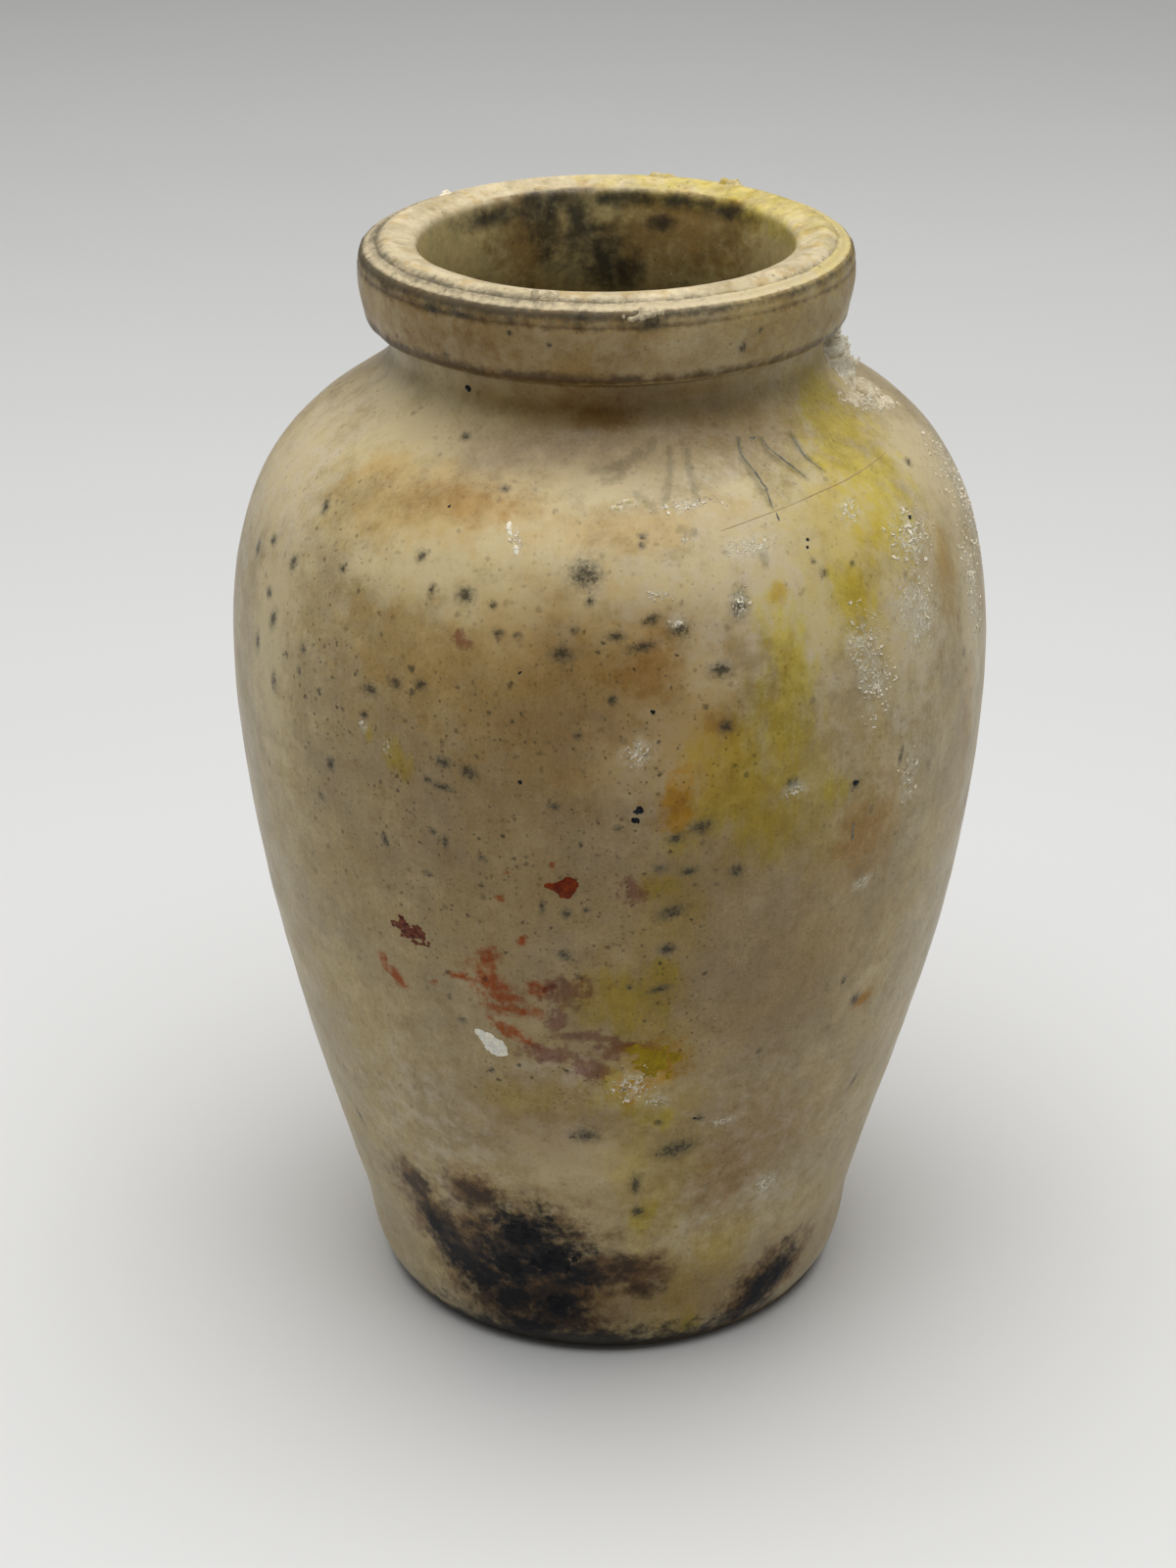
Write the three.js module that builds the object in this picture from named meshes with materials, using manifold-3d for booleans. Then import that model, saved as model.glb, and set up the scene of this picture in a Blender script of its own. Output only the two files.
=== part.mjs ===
// A stoneware pot: one thrown clay body, a collar band luted round its neck, coats of glaze
// inside and out, and the crusts of plaster and paint that have dried on it in use.
// Millimetres, +Z up. The origin is the middle of the base, which stands on Z = 0.
import * as THREE from "three";
import { mergeVertices } from "three/addons/utils/BufferGeometryUtils.js";
import Module from "manifold-3d";

const wasm = await Module();
wasm.setup();

// Heights of the clay, stacked from the base up
const BELLY_HEIGHT = 82; // base to the widest ring
const SHOULDER_RISE = 32.6; // widest ring to where the shoulder turns hollow
const NECK_RISE = 5.8; // that turn to the foot of the upright neck
const NECK_LENGTH = 3.9; // upright neck that shows below the collar
const COLLAR_HEIGHT = 7.9; // collar's underside to its outer top edge
const BEVEL_RISE = 0.45; // collar's outer top edge to its inner top edge
const LIP_RISE = 0.45; // collar's inner top edge to the crest of the lip
const LIP_FALL = 0.4; // crest of the lip to the edge of the mouth

// Radii and thicknesses of the clay
const FOOT_RADIUS = 28.3;
const BELLY_RADIUS = 44.6;
const NECK_RADIUS = 24.6;
const SHOULDER_REACH = 6.1; // neck's side to where the shoulder turns hollow
const LIP_FLARE = 1.2; // how far the lip stands outside the neck
const COLLAR_THICKNESS = 2.7; // collar's underside, outside the neck
const COLLAR_FLARE = 0.45; // how much wider the collar is at its top
const WALL = 4.6;
const NECK_WALL = 2.8;
const FLOOR = 6.5;

// Edges
const FOOT_EDGE = 1.4;
const LIP_EDGE = 0.4;
const MOUTH_EDGE = 1.0;
const COLLAR_LOWER_EDGE = 1.1;
const COLLAR_UPPER_EDGE = 0.7;
const GROOVE_WIDTH = 0.5; // notch between the collar and the lip
const GROOVE_DEPTH = 0.4;
const FLOOR_CORNER = 8; // hollow corner where the inside wall meets the floor

// Glaze coats
const GLAZE = 0.4;
const BOND = 0.02; // clearance between a coat, or the collar, and the clay under it
const BARE_FOOT = 1.7; // height of the clay band that the outer glaze leaves bare
const BARE_NECK = 0.8; // height of the neck left bare under the collar

// Crusts: the bearing from +X in degrees, and half sizes out from the pot, round it and along its side
const CRUST_GAP = 0.3; // clearance between a crust and the glaze that it sits on
const CRUST_KNOBS = 0.12; // depth of a crust's knobs, as a share of its size
const KNOB_WAVES = new THREE.Vector3(5, 4, 6); // knobs across each way
const CORNER_PLASTER = { bearing: 4, out: 3.0, round: 6.5, along: 5.2 };
const SHOULDER_PLASTER = { bearing: -4, out: 1.9, round: 7.5, along: 7 };
const BACK_CRUMB = { bearing: 74, out: 1.5, round: 1.9, along: 1.5 };
const RIGHT_CRUMB = { bearing: 54, out: 1.8, round: 2.0, along: 1.6 };
const LEFT_DAB = { bearing: 138, out: 1.3, round: 1.2, along: 1.5 };
const LIP_FLAKE = { bearing: -105, out: 1.4, round: 1.7, along: 1.3 };
const COLLAR_FLAKE = { bearing: -82, out: 1.4, round: 2.3, along: 1.4 };

// How the curves of the outline leave and meet their ends
const FOOT_LEAN = THREE.MathUtils.degToRad(15); // lower wall, from upright
const SHOULDER_PITCH = THREE.MathUtils.degToRad(31); // shoulder's slope at its turn
const LOWER_WALL_PULL = 0.48;
const BELLY_PULL_DOWN = 0.22;
const BELLY_PULL_UP = 0.58;
const SHOULDER_PULL = 0.31;
const NECK_PULL_IN = 0.48;
const NECK_PULL_UP = 0.16;

// Facets
const TURN_STEPS = 40;
const WALL_STEPS = 6;
const SHOULDER_STEPS = 7;
const NECK_STEPS = 3;
const EDGE_STEPS = 3;
const CRUST_DETAIL = 2;

const point = (radius, height) => new THREE.Vector2(radius, height);

// Points of a curve from start to end, with its two handles.
function bend(start, startHandle, endHandle, end, steps) {
  return new THREE.CubicBezierCurve(start, startHandle, endHandle, end).getPoints(steps);
}

// Points of an arc about a centre, between two angles in degrees.
function arc(centre, radius, from, to) {
  return Array.from({ length: EDGE_STEPS + 1 }, (_, i) => {
    const angle = THREE.MathUtils.degToRad(from + ((to - from) * i) / EDGE_STEPS);
    return point(centre.x + radius * Math.cos(angle), centre.y + radius * Math.sin(angle));
  });
}

// Joins runs of points, keeping one of any two that lie together.
function chain(...runs) {
  return runs.flat().filter((p, i, all) => i === 0 || p.distanceTo(all[i - 1]) > BOND / 2);
}

// The line a given distance outside an outline, or inside where the distance is negative.
// An outline runs from the base up the outside, over the lip and down the inside.
function offset(line, distance) {
  const sideways = (a, b) => point(b.y - a.y, a.x - b.x).normalize();
  return line.map((p, i) => {
    const before = sideways(line[Math.max(i - 1, 0)], line[Math.max(i, 1)]);
    const after = sideways(line[Math.min(i, line.length - 2)], line[Math.min(i + 1, line.length - 1)]);
    const mean = before.clone().add(after).normalize();
    const amount = typeof distance === "function" ? distance(i) : distance;
    return p.clone().addScaledVector(mean, amount / mean.dot(after));
  });
}

// Where a line that climbs or falls steadily crosses a height.
function crossing(line, height) {
  const i = line.findIndex((p, k) => k > 0 && (p.y - height) * (line[k - 1].y - height) <= 0);
  const share = (height - line[i - 1].y) / (line[i].y - line[i - 1].y);
  return line[i - 1].clone().lerp(line[i], share);
}

// The part of a line between two heights.
function between(line, low, high) {
  const inside = line.filter((p) => p.y > low + BOND && p.y < high - BOND);
  return chain([crossing(line, low)], inside, [crossing(line, high)]);
}

// Main points of the clay
const footTop = point(FOOT_RADIUS, FOOT_EDGE);
const belly = point(BELLY_RADIUS, BELLY_HEIGHT);
const shoulder = point(NECK_RADIUS + SHOULDER_REACH, BELLY_HEIGHT + SHOULDER_RISE);
const neck = point(NECK_RADIUS, shoulder.y + NECK_RISE);
const collarFoot = point(NECK_RADIUS, neck.y + NECK_LENGTH);
const collarTop = collarFoot.y + COLLAR_HEIGHT;
const bevelTop = collarTop + BEVEL_RISE;
const lipTop = bevelTop + LIP_RISE;
const lipRadius = NECK_RADIUS + LIP_FLARE;
const mouthRadius = NECK_RADIUS - NECK_WALL;
const mouthTop = lipTop - LIP_FALL;
const groove = point(lipRadius, bevelTop - GROOVE_DEPTH);

// Outside of the clay, from the foot to the neck
const footEdge = arc(point(FOOT_RADIUS - FOOT_EDGE, FOOT_EDGE), FOOT_EDGE, -90, 0);
const wallRise = belly.y - footTop.y;
const lowerWall = bend(
  footTop,
  point(
    footTop.x + Math.tan(FOOT_LEAN) * wallRise * LOWER_WALL_PULL,
    footTop.y + wallRise * LOWER_WALL_PULL,
  ),
  point(belly.x, belly.y - wallRise * BELLY_PULL_DOWN),
  belly,
  WALL_STEPS,
);
const shoulderSlope = point(-Math.cos(SHOULDER_PITCH), Math.sin(SHOULDER_PITCH));
const shoulderWall = bend(
  belly,
  point(belly.x, belly.y + SHOULDER_RISE * BELLY_PULL_UP),
  shoulder.clone().addScaledVector(shoulderSlope, -belly.distanceTo(shoulder) * SHOULDER_PULL),
  shoulder,
  SHOULDER_STEPS,
);
const neckSpan = shoulder.distanceTo(neck);
const neckWall = bend(
  shoulder,
  shoulder.clone().addScaledVector(shoulderSlope, neckSpan * NECK_PULL_IN),
  point(neck.x, neck.y - neckSpan * NECK_PULL_UP),
  neck,
  NECK_STEPS,
);
const outside = chain(lowerWall, shoulderWall, neckWall);

// Inside of the clay: the wall thins as it goes over the shoulder to the neck
const thinningStart = lowerWall.length;
function wallThickness(i) {
  const share = THREE.MathUtils.smoothstep(i, thinningStart, outside.length - 1);
  return THREE.MathUtils.lerp(WALL, NECK_WALL, share);
}
const insideWall = offset(outside, (i) => -wallThickness(i));
const cornerTop = crossing(insideWall, FLOOR + FLOOR_CORNER);
const inside = chain(
  insideWall.filter((p) => p.y > cornerTop.y + BOND).reverse(),
  arc(point(cornerTop.x - FLOOR_CORNER, cornerTop.y), FLOOR_CORNER, 0, -90),
  [point(0, FLOOR)],
);

// Lip and mouth, from the groove beside the collar over the crest and into the bore
const lipSide = [collarFoot, groove];
const lipCrest = chain(
  arc(point(lipRadius - LIP_EDGE, lipTop - LIP_EDGE), LIP_EDGE, 0, 90),
  arc(point(mouthRadius + MOUTH_EDGE, mouthTop - MOUTH_EDGE), MOUTH_EDGE, 90, 180),
);

// A turned body, from an outline that starts and ends on the axis or closes on itself.
function turned(outline) {
  return new THREE.LatheGeometry(outline, TURN_STEPS).rotateX(Math.PI / 2);
}

// A coat between two lines that run the same way, the second one further from the clay.
function coat(inner, outer) {
  const outline = [...inner.slice().reverse(), ...outer];
  const startsOnAxis = outline[0].x === 0;
  return turned(startsOnAxis ? outline : [...outline, outline[0]]);
}

function finish(colour, roughness) {
  return new THREE.MeshStandardMaterial({ color: colour, roughness, metalness: 0 });
}

const pot = new THREE.Group();

function place(name, geometry, material) {
  const mesh = new THREE.Mesh(geometry, material);
  mesh.name = name;
  pot.add(mesh);
}

// Thrown body: floor, wall, shoulder, neck and lip in one piece of clay
const bodyOutline = chain([point(0, 0)], footEdge, outside, lipSide, lipCrest, inside);
place("thrown_body", turned(bodyOutline), finish(0xa08a68, 0.9));

// Collar: the band round the neck, seated on the neck's flared end
const collarBottomRadius = NECK_RADIUS + COLLAR_THICKNESS;
const collarRadius = collarBottomRadius + COLLAR_FLARE;
const collarFace = chain(
  [point(NECK_RADIUS + BOND, collarFoot.y)],
  arc(
    point(collarBottomRadius - COLLAR_LOWER_EDGE, collarFoot.y + COLLAR_LOWER_EDGE),
    COLLAR_LOWER_EDGE,
    -90,
    0,
  ),
  arc(point(collarRadius - COLLAR_UPPER_EDGE, collarTop - COLLAR_UPPER_EDGE), COLLAR_UPPER_EDGE, 0, 90),
  [point(lipRadius + GROOVE_WIDTH, bevelTop)],
);
const collarOutline = [...collarFace, point(groove.x + BOND, groove.y), collarFace[0]];
place("rim_collar", turned(collarOutline), finish(0xa89473, 0.85));

// Outer glaze, from the bare foot to just under the collar
const glazedNeck = [point(NECK_RADIUS, collarFoot.y - BARE_NECK)];
const glazedOutside = chain(between(lowerWall, BARE_FOOT, BELLY_HEIGHT), shoulderWall, neckWall, glazedNeck);
place(
  "outer_glaze",
  coat(offset(glazedOutside, BOND), offset(glazedOutside, BOND + GLAZE)),
  finish(0xb9ad8b, 0.32),
);

// Glaze on the collar's face, round its lower edge and up to the groove
const glazedCollar = collarFace.slice(1);
place(
  "collar_glaze",
  coat(offset(glazedCollar, BOND), offset(glazedCollar, BOND + GLAZE)),
  finish(0xb3a07c, 0.4),
);

// Inner glaze, over the crest of the lip, down the bore and across the floor
const glazedInside = chain(lipCrest.slice(EDGE_STEPS), inside);
place(
  "inner_glaze",
  coat(offset(glazedInside, BOND), offset(glazedInside, BOND + GLAZE)),
  finish(0x9c8f6c, 0.35),
);

// Solids from closed geometry, and back
function solid(geometry) {
  const bare = geometry.clone();
  bare.deleteAttribute("normal");
  bare.deleteAttribute("uv");
  const merged = mergeVertices(bare);
  return new wasm.Manifold(
    new wasm.Mesh({
      numProp: 3,
      vertProperties: merged.attributes.position.array,
      triVerts: new Uint32Array(merged.index.array),
    }),
  );
}

function geometryOf(manifold) {
  const mesh = manifold.getMesh();
  const geometry = new THREE.BufferGeometry();
  geometry.setAttribute("position", new THREE.BufferAttribute(mesh.vertProperties, 3));
  geometry.setIndex(new THREE.BufferAttribute(mesh.triVerts, 1));
  return geometry;
}

// The glazed pot as a filled form, grown by the clearance, which every crust is cut to fit
const grown = BOND + GLAZE + CRUST_GAP;
function filled(line) {
  const skin = offset(line, grown);
  return solid(turned([point(0, skin[0].y), ...skin, point(0, skin.at(-1).y)]));
}
const keepOut = filled(chain(footEdge.slice(1), outside, lipSide, lipCrest)).add(filled(collarFace));

// A knobbly lump about a point of the outline, which leans back from upright by the tilt.
function lump(size, seat, tilt) {
  const geometry = new THREE.IcosahedronGeometry(1, CRUST_DETAIL);
  const lay = new THREE.Matrix4()
    .makeRotationZ(THREE.MathUtils.degToRad(size.bearing))
    .multiply(new THREE.Matrix4().makeTranslation(seat.x, 0, seat.y))
    .multiply(new THREE.Matrix4().makeRotationY(-tilt))
    .multiply(new THREE.Matrix4().makeScale(size.out, size.round, size.along));
  const spot = new THREE.Vector3();
  const positions = geometry.attributes.position;
  for (let i = 0; i < positions.count; i += 1) {
    spot.fromBufferAttribute(positions, i);
    const wave = spot.clone().multiply(KNOB_WAVES).addScalar(size.bearing);
    const knobs = (Math.sin(wave.x) * Math.cos(wave.y) + Math.sin(wave.z)) / 2;
    spot.multiplyScalar(1 + CRUST_KNOBS * knobs).applyMatrix4(lay);
    positions.setXYZ(i, spot.x, spot.y, spot.z);
  }
  return solid(geometry);
}

function crust(name, form, material) {
  place(name, geometryOf(form.subtract(keepOut)), material);
}

const plaster = () => finish(0xd9d0b8, 0.95);
const yellowPaint = () => finish(0xc2ab45, 0.8);
const UPRIGHT = 0;
const FLAT = Math.PI / 2;

// Plaster in the corner under the collar, with its smear down the shoulder
const cornerLump = lump(CORNER_PLASTER, neck, UPRIGHT);
const shoulderSmear = lump(SHOULDER_PLASTER, shoulder, FLAT - SHOULDER_PITCH);
crust("plaster_crust", cornerLump.add(shoulderSmear), plaster());

// Crumbs, a dab and flakes of dried paint on the lip and on the collar's top edge
const lipEdge = point(lipRadius - LIP_EDGE, lipTop);
const collarEdge = point(collarRadius, collarTop);
crust("rim_crumb_back", lump(BACK_CRUMB, lipEdge, FLAT), yellowPaint());
crust("rim_crumb_right", lump(RIGHT_CRUMB, lipEdge, FLAT), yellowPaint());
crust("rim_dab_left", lump(LEFT_DAB, lipEdge, FLAT), plaster());
crust("lip_flake_front", lump(LIP_FLAKE, lipEdge, FLAT), plaster());
crust("collar_flake_front", lump(COLLAR_FLAKE, collarEdge, FLAT / 2), plaster());

export default pot;
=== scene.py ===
"""Looks of the stoneware pot: fine turned skins, crusts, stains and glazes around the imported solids."""
import math
from collections import namedtuple

import bpy
import numpy as np
from mathutils import Matrix, Vector


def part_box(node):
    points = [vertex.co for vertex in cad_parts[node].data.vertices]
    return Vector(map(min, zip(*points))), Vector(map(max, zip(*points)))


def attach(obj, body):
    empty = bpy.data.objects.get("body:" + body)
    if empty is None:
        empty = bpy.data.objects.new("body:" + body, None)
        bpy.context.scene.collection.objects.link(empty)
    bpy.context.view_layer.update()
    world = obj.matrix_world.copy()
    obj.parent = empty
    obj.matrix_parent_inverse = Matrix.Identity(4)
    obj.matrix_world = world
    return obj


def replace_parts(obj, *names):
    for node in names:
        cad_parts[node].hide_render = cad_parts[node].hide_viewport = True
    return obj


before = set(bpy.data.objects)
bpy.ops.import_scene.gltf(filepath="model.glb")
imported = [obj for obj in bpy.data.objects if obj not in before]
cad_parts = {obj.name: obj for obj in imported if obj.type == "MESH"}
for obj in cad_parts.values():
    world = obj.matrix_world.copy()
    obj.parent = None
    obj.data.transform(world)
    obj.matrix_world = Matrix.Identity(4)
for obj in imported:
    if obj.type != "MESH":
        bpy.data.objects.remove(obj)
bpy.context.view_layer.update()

MM = 0.001

# The camera that took the photograph, in the pot's frame
PHOTO_WIDTH = 1200
PHOTO_HEIGHT = 1600
FOCAL_PIXELS = 3200
SENSOR_HEIGHT_MM = 36
CAMERA_AT = Vector((-2.5, -348.4, 229.7)) * MM
CAMERA_PITCH = math.radians(25.43)
CAMERA_ROLL = math.radians(-0.4)

# Fineness of the turned skins
FRONT = -math.pi / 2
SKIN_COLUMNS = 520
FRONT_CROWDING = 0.35
SKIN_STEP = 0.42 * MM
RIM_STEP = 0.2 * MM
LIP_STEP = 0.3 * MM
DEEP_STEP = 2.5 * MM
BORE_SHOWN = 26 * MM
SEAM_TOLERANCE = 0.002 * MM

# How far the hand-thrown surface strays from a true turning
WOBBLE = 0.22 * MM
WOBBLE_SIZE = 40 * MM
RINGS = 0.05 * MM
RING_SIZE = 5 * MM
RING_SQUEEZE = np.array([0.12, 0.12, 1])
RIPPLE = 0.03 * MM
RIPPLE_SIZE = 3 * MM
LEAN = 0.3 * MM
LEAN_HEIGHT = 70 * MM
LEAN_REACH = 50 * MM
LOW_LEAN = 0.42 * MM
LOW_LEAN_HEIGHT = 15 * MM
LOW_LEAN_REACH = 38 * MM
WAIST = 0.72 * MM
WAIST_HEIGHT = 10.3 * MM
WAIST_REACH = 8.5 * MM
FULLNESS = 0.5 * MM
FULL_HEIGHT = 44 * MM
FULL_REACH = 34 * MM
COLLAR_WEAR = 0.06 * MM
COLLAR_WEAR_SIZE = 2.5 * MM
LINING_WEAR = 0.04 * MM
LINING_WEAR_SIZE = 4 * MM

# Marks are ovals placed one by one: a pixel of the photograph, half the width and half the height in
# millimetres, and a turn in degrees where they are tilted. These are the stains of the body; the pale marks
# also hold painted highlight and sheen, and the neck marks hold painted shadow under the collar as well as
# dirt.
STAIN_AND_LIGHT_MARKS = {
    "warm": [
        (440, 512, 12, 5, 6), (640, 540, 10, 3, 4), (560, 715, 17, 11), (655, 690, 4, 3),
        (430, 680, 12, 7), (665, 680, 5, 6, -20), (700, 740, 6, 9), (962, 575, 1.6, 5),
        (485, 1200, 2.5, 2), (880, 850, 4, 5), (400, 480, 5, 3), (470, 515, 5, 2.5), (900, 840, 3, 6),
        (985, 740, 1.5, 8),
    ],
    "dull": [
        (560, 880, 24, 20), (640, 1010, 18, 14), (600, 760, 16, 12), (700, 900, 14, 16),
        (600, 458, 15, 4), (700, 440, 10, 4), (640, 1330, 16, 5), (780, 1000, 12, 16),
        (560, 1140, 12, 8), (760, 1160, 12, 10), (600, 690, 14, 8),
    ],
    # Pale glaze, with painted highlight in the band across the shoulder and painted sheen at the left and
    # right sides
    "pale_and_highlight": [
        (300, 470, 10, 10), (450, 556, 11, 3.4, 6), (740, 530, 12, 3.6), (610, 490, 10, 3),
        (925, 640, 5, 7), (590, 1180, 6, 4), (420, 440, 9, 6, 20), (640, 780, 4, 4), (400, 398, 6, 4),
        (846, 382, 1.5, 4.5), (275, 640, 5, 16), (990, 620, 3, 8), (940, 470, 8, 7), (720, 690, 3.5, 5),
        (640, 1105, 3, 3), (840, 640, 3.5, 6), (870, 520, 9, 6), (535, 545, 9, 4), (560, 570, 12, 3),
        (430, 580, 10, 3), (780, 560, 10, 5), (520, 620, 8, 4), (640, 590, 9, 3), (710, 600, 8, 4),
        (800, 600, 6, 5), (690, 760, 4, 6), (500, 560, 14, 4, 4),
    ],
    "yellow": [
        (830, 398, 3.6, 4, 12), (852, 432, 5, 4, -25), (880, 480, 5.4, 6.5, 15), (905, 535, 4.4, 3.6),
        (872, 612, 2, 3.6, 14), (806, 680, 2.6, 6), (800, 735, 3.2, 5.4), (745, 778, 4.4, 4),
        (780, 842, 3.4, 3), (735, 822, 3, 3.4), (845, 802, 1.8, 2), (672, 908, 2.0, 1.2),
        (635, 1018, 4.2, 3), (672, 990, 1.8, 1.6), (668, 1080, 2.4, 2.4), (632, 1112, 3.2, 2.8, -20),
        (668, 1140, 1.6, 1.6), (655, 1235, 1.0, 2.4), (704, 1350, 1.2, 2.0), (404, 778, 1.3, 1.8, 25),
        (376, 752, 0.7, 0.7), (700, 862, 2, 1.6), (760, 800, 4, 3),
    ],
    "amber": [
        (667, 1082, 3.2, 3.2), (643, 1066, 1.6, 0.8), (645, 1106, 2.6, 1.6, 30),
        (693, 815, 1.3, 2.8, -16), (640, 1122, 0.9, 0.6), (655, 1066, 2, 0.7), (878, 1018, 1.2, 0.6),
        (692, 835, 1.6, 1.6),
    ],
    "red": [
        (392, 985, 0.5, 1.3, 25), (405, 996, 1.6, 0.6, -25), (503, 978, 1.1, 1.5),
        (517, 1012, 1.5, 2.3, 20), (512, 1028, 1.7, 0.9), (538, 1031, 1.7, 0.8, 8), (470, 996, 1.6, 0.4),
        (552, 1008, 1.1, 0.9), (525, 1052, 2.4, 0.8, -35), (508, 921, 0.4, 0.4), (515, 894, 0.35, 0.3),
        (531, 957, 0.6, 0.5), (446, 1002, 0.5, 0.4), (505, 1003, 1.8, 2.6, 20), (560, 884, 0.3, 0.3),
    ],
    "mauve": [
        (578, 1010, 2.8, 1.7), (573, 1040, 1.3, 1.6), (600, 1054, 3.2, 0.7), (620, 1068, 1.5, 1.2),
        (643, 914, 1.4, 1.4), (470, 653, 1.0, 0.8), (560, 1072, 3, 1.2), (600, 1088, 2, 1.6),
        (635, 1062, 2.2, 0.6),
    ],
    "brown": [
        (428, 1206, 2.6, 3.4, 30), (452, 1246, 4.6, 7.5, 30), (485, 1214, 3.4, 3.0),
        (480, 1280, 6.0, 9.0, 35), (530, 1275, 8.6, 7.6, 35), (560, 1318, 6.4, 6.0, 20),
        (520, 1330, 6.0, 5.0, -20), (575, 1345, 5.4, 3.0), (637, 1297, 5.4, 2.6, 5),
        (605, 1300, 3.6, 3.2), (655, 1318, 3.0, 1.6), (780, 1315, 7.0, 4.0, 40),
        (762, 1332, 4.0, 3.0, 35), (797, 1300, 3.4, 3.0, 40),
    ],
    "tar": [
        (535, 1256, 4.4, 4.0, 15), (565, 1284, 4.6, 3.8, 25), (520, 1290, 4.2, 3.6),
        (585, 1304, 2.8, 2.2), (570, 1334, 2.8, 2.6), (540, 1349, 3.2, 1.6), (492, 1300, 3.4, 3.0, 30),
        (466, 1280, 2.6, 3.4, 30), (446, 1248, 1.6, 3.0, 20), (520, 1322, 3.0, 2.4),
        (780, 1316, 4.6, 2.2, 40), (800, 1298, 2.0, 1.4, 40),
    ],
    "chalk": [
        (980, 500, 6, 9), (930, 548, 5, 4), (882, 660, 3, 4), (935, 620, 6, 7), (990, 600, 4, 8),
        (756, 612, 1.4, 1.8), (695, 641, 1.4, 0.9), (676, 606, 1.8, 0.9), (643, 1106, 3.0, 3.6),
        (370, 742, 0.8, 1.4, 25), (396, 768, 0.7, 1.4, 25), (650, 770, 2.4, 2.6),
        (880, 408, 5, 2.6, -25), (810, 802, 2, 1.4), (865, 520, 2.6, 2.2), (735, 1140, 3, 0.9),
        (524, 552, 0.6, 1.9, 12), (632, 516, 1.6, 0.8), (705, 550, 1, 1), (770, 560, 4, 1.6),
        (892, 690, 3, 5), (780, 1210, 3, 3), (925, 790, 2, 4), (700, 515, 4, 1.2), (670, 1120, 2.4, 1.4),
        (880, 900, 2, 1.2),
    ],
    "specked": [
        (470, 850, 24, 22), (560, 770, 24, 13), (330, 650, 9, 18), (620, 900, 12, 16),
        (560, 1100, 10, 6), (690, 1000, 6, 14), (620, 680, 12, 5),
    ],
    # Painted shadow under the collar, with some brown dirt
    "neck_dirt_and_shade": [
        (560, 408, 7, 2.0), (630, 406, 7, 1.8), (500, 402, 4, 1.4), (700, 402, 5, 1.0),
        (610, 425, 4, 1.8),
    ],
    "olive": [
        (672, 1185, 4.6, 13), (690, 1320, 3.6, 8), (655, 1040, 5, 8), (540, 1120, 5, 2.4),
        (735, 1275, 4, 5), (870, 560, 6, 10), (800, 800, 9, 9), (690, 920, 3, 6), (640, 1100, 3, 4),
    ],
    "tea": [
        (668, 676, 2.0, 2.8, -25), (655, 692, 3, 2), (880, 848, 3, 4.4), (735, 742, 1.4, 2),
        (880, 1015, 2, 1.4), (585, 405, 2, 1.6), (620, 424, 3.4, 1.6), (740, 1200, 3, 4),
        (480, 512, 5, 2), (797, 610, 1.0, 1.0),
    ],
    "cloudy": [
        (800, 620, 18, 22), (900, 600, 10, 24), (700, 590, 10, 10), (720, 770, 8, 12),
        (740, 1190, 14, 16), (300, 480, 10, 12), (450, 1150, 12, 12), (600, 1120, 12, 10),
    ],
}
TAR_CORE = [
    (536, 1260, 2.2, 2.0, 15), (563, 1287, 2.6, 1.9, 25), (521, 1290, 2.0, 1.6), (568, 1332, 1.2, 1.2),
]
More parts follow.
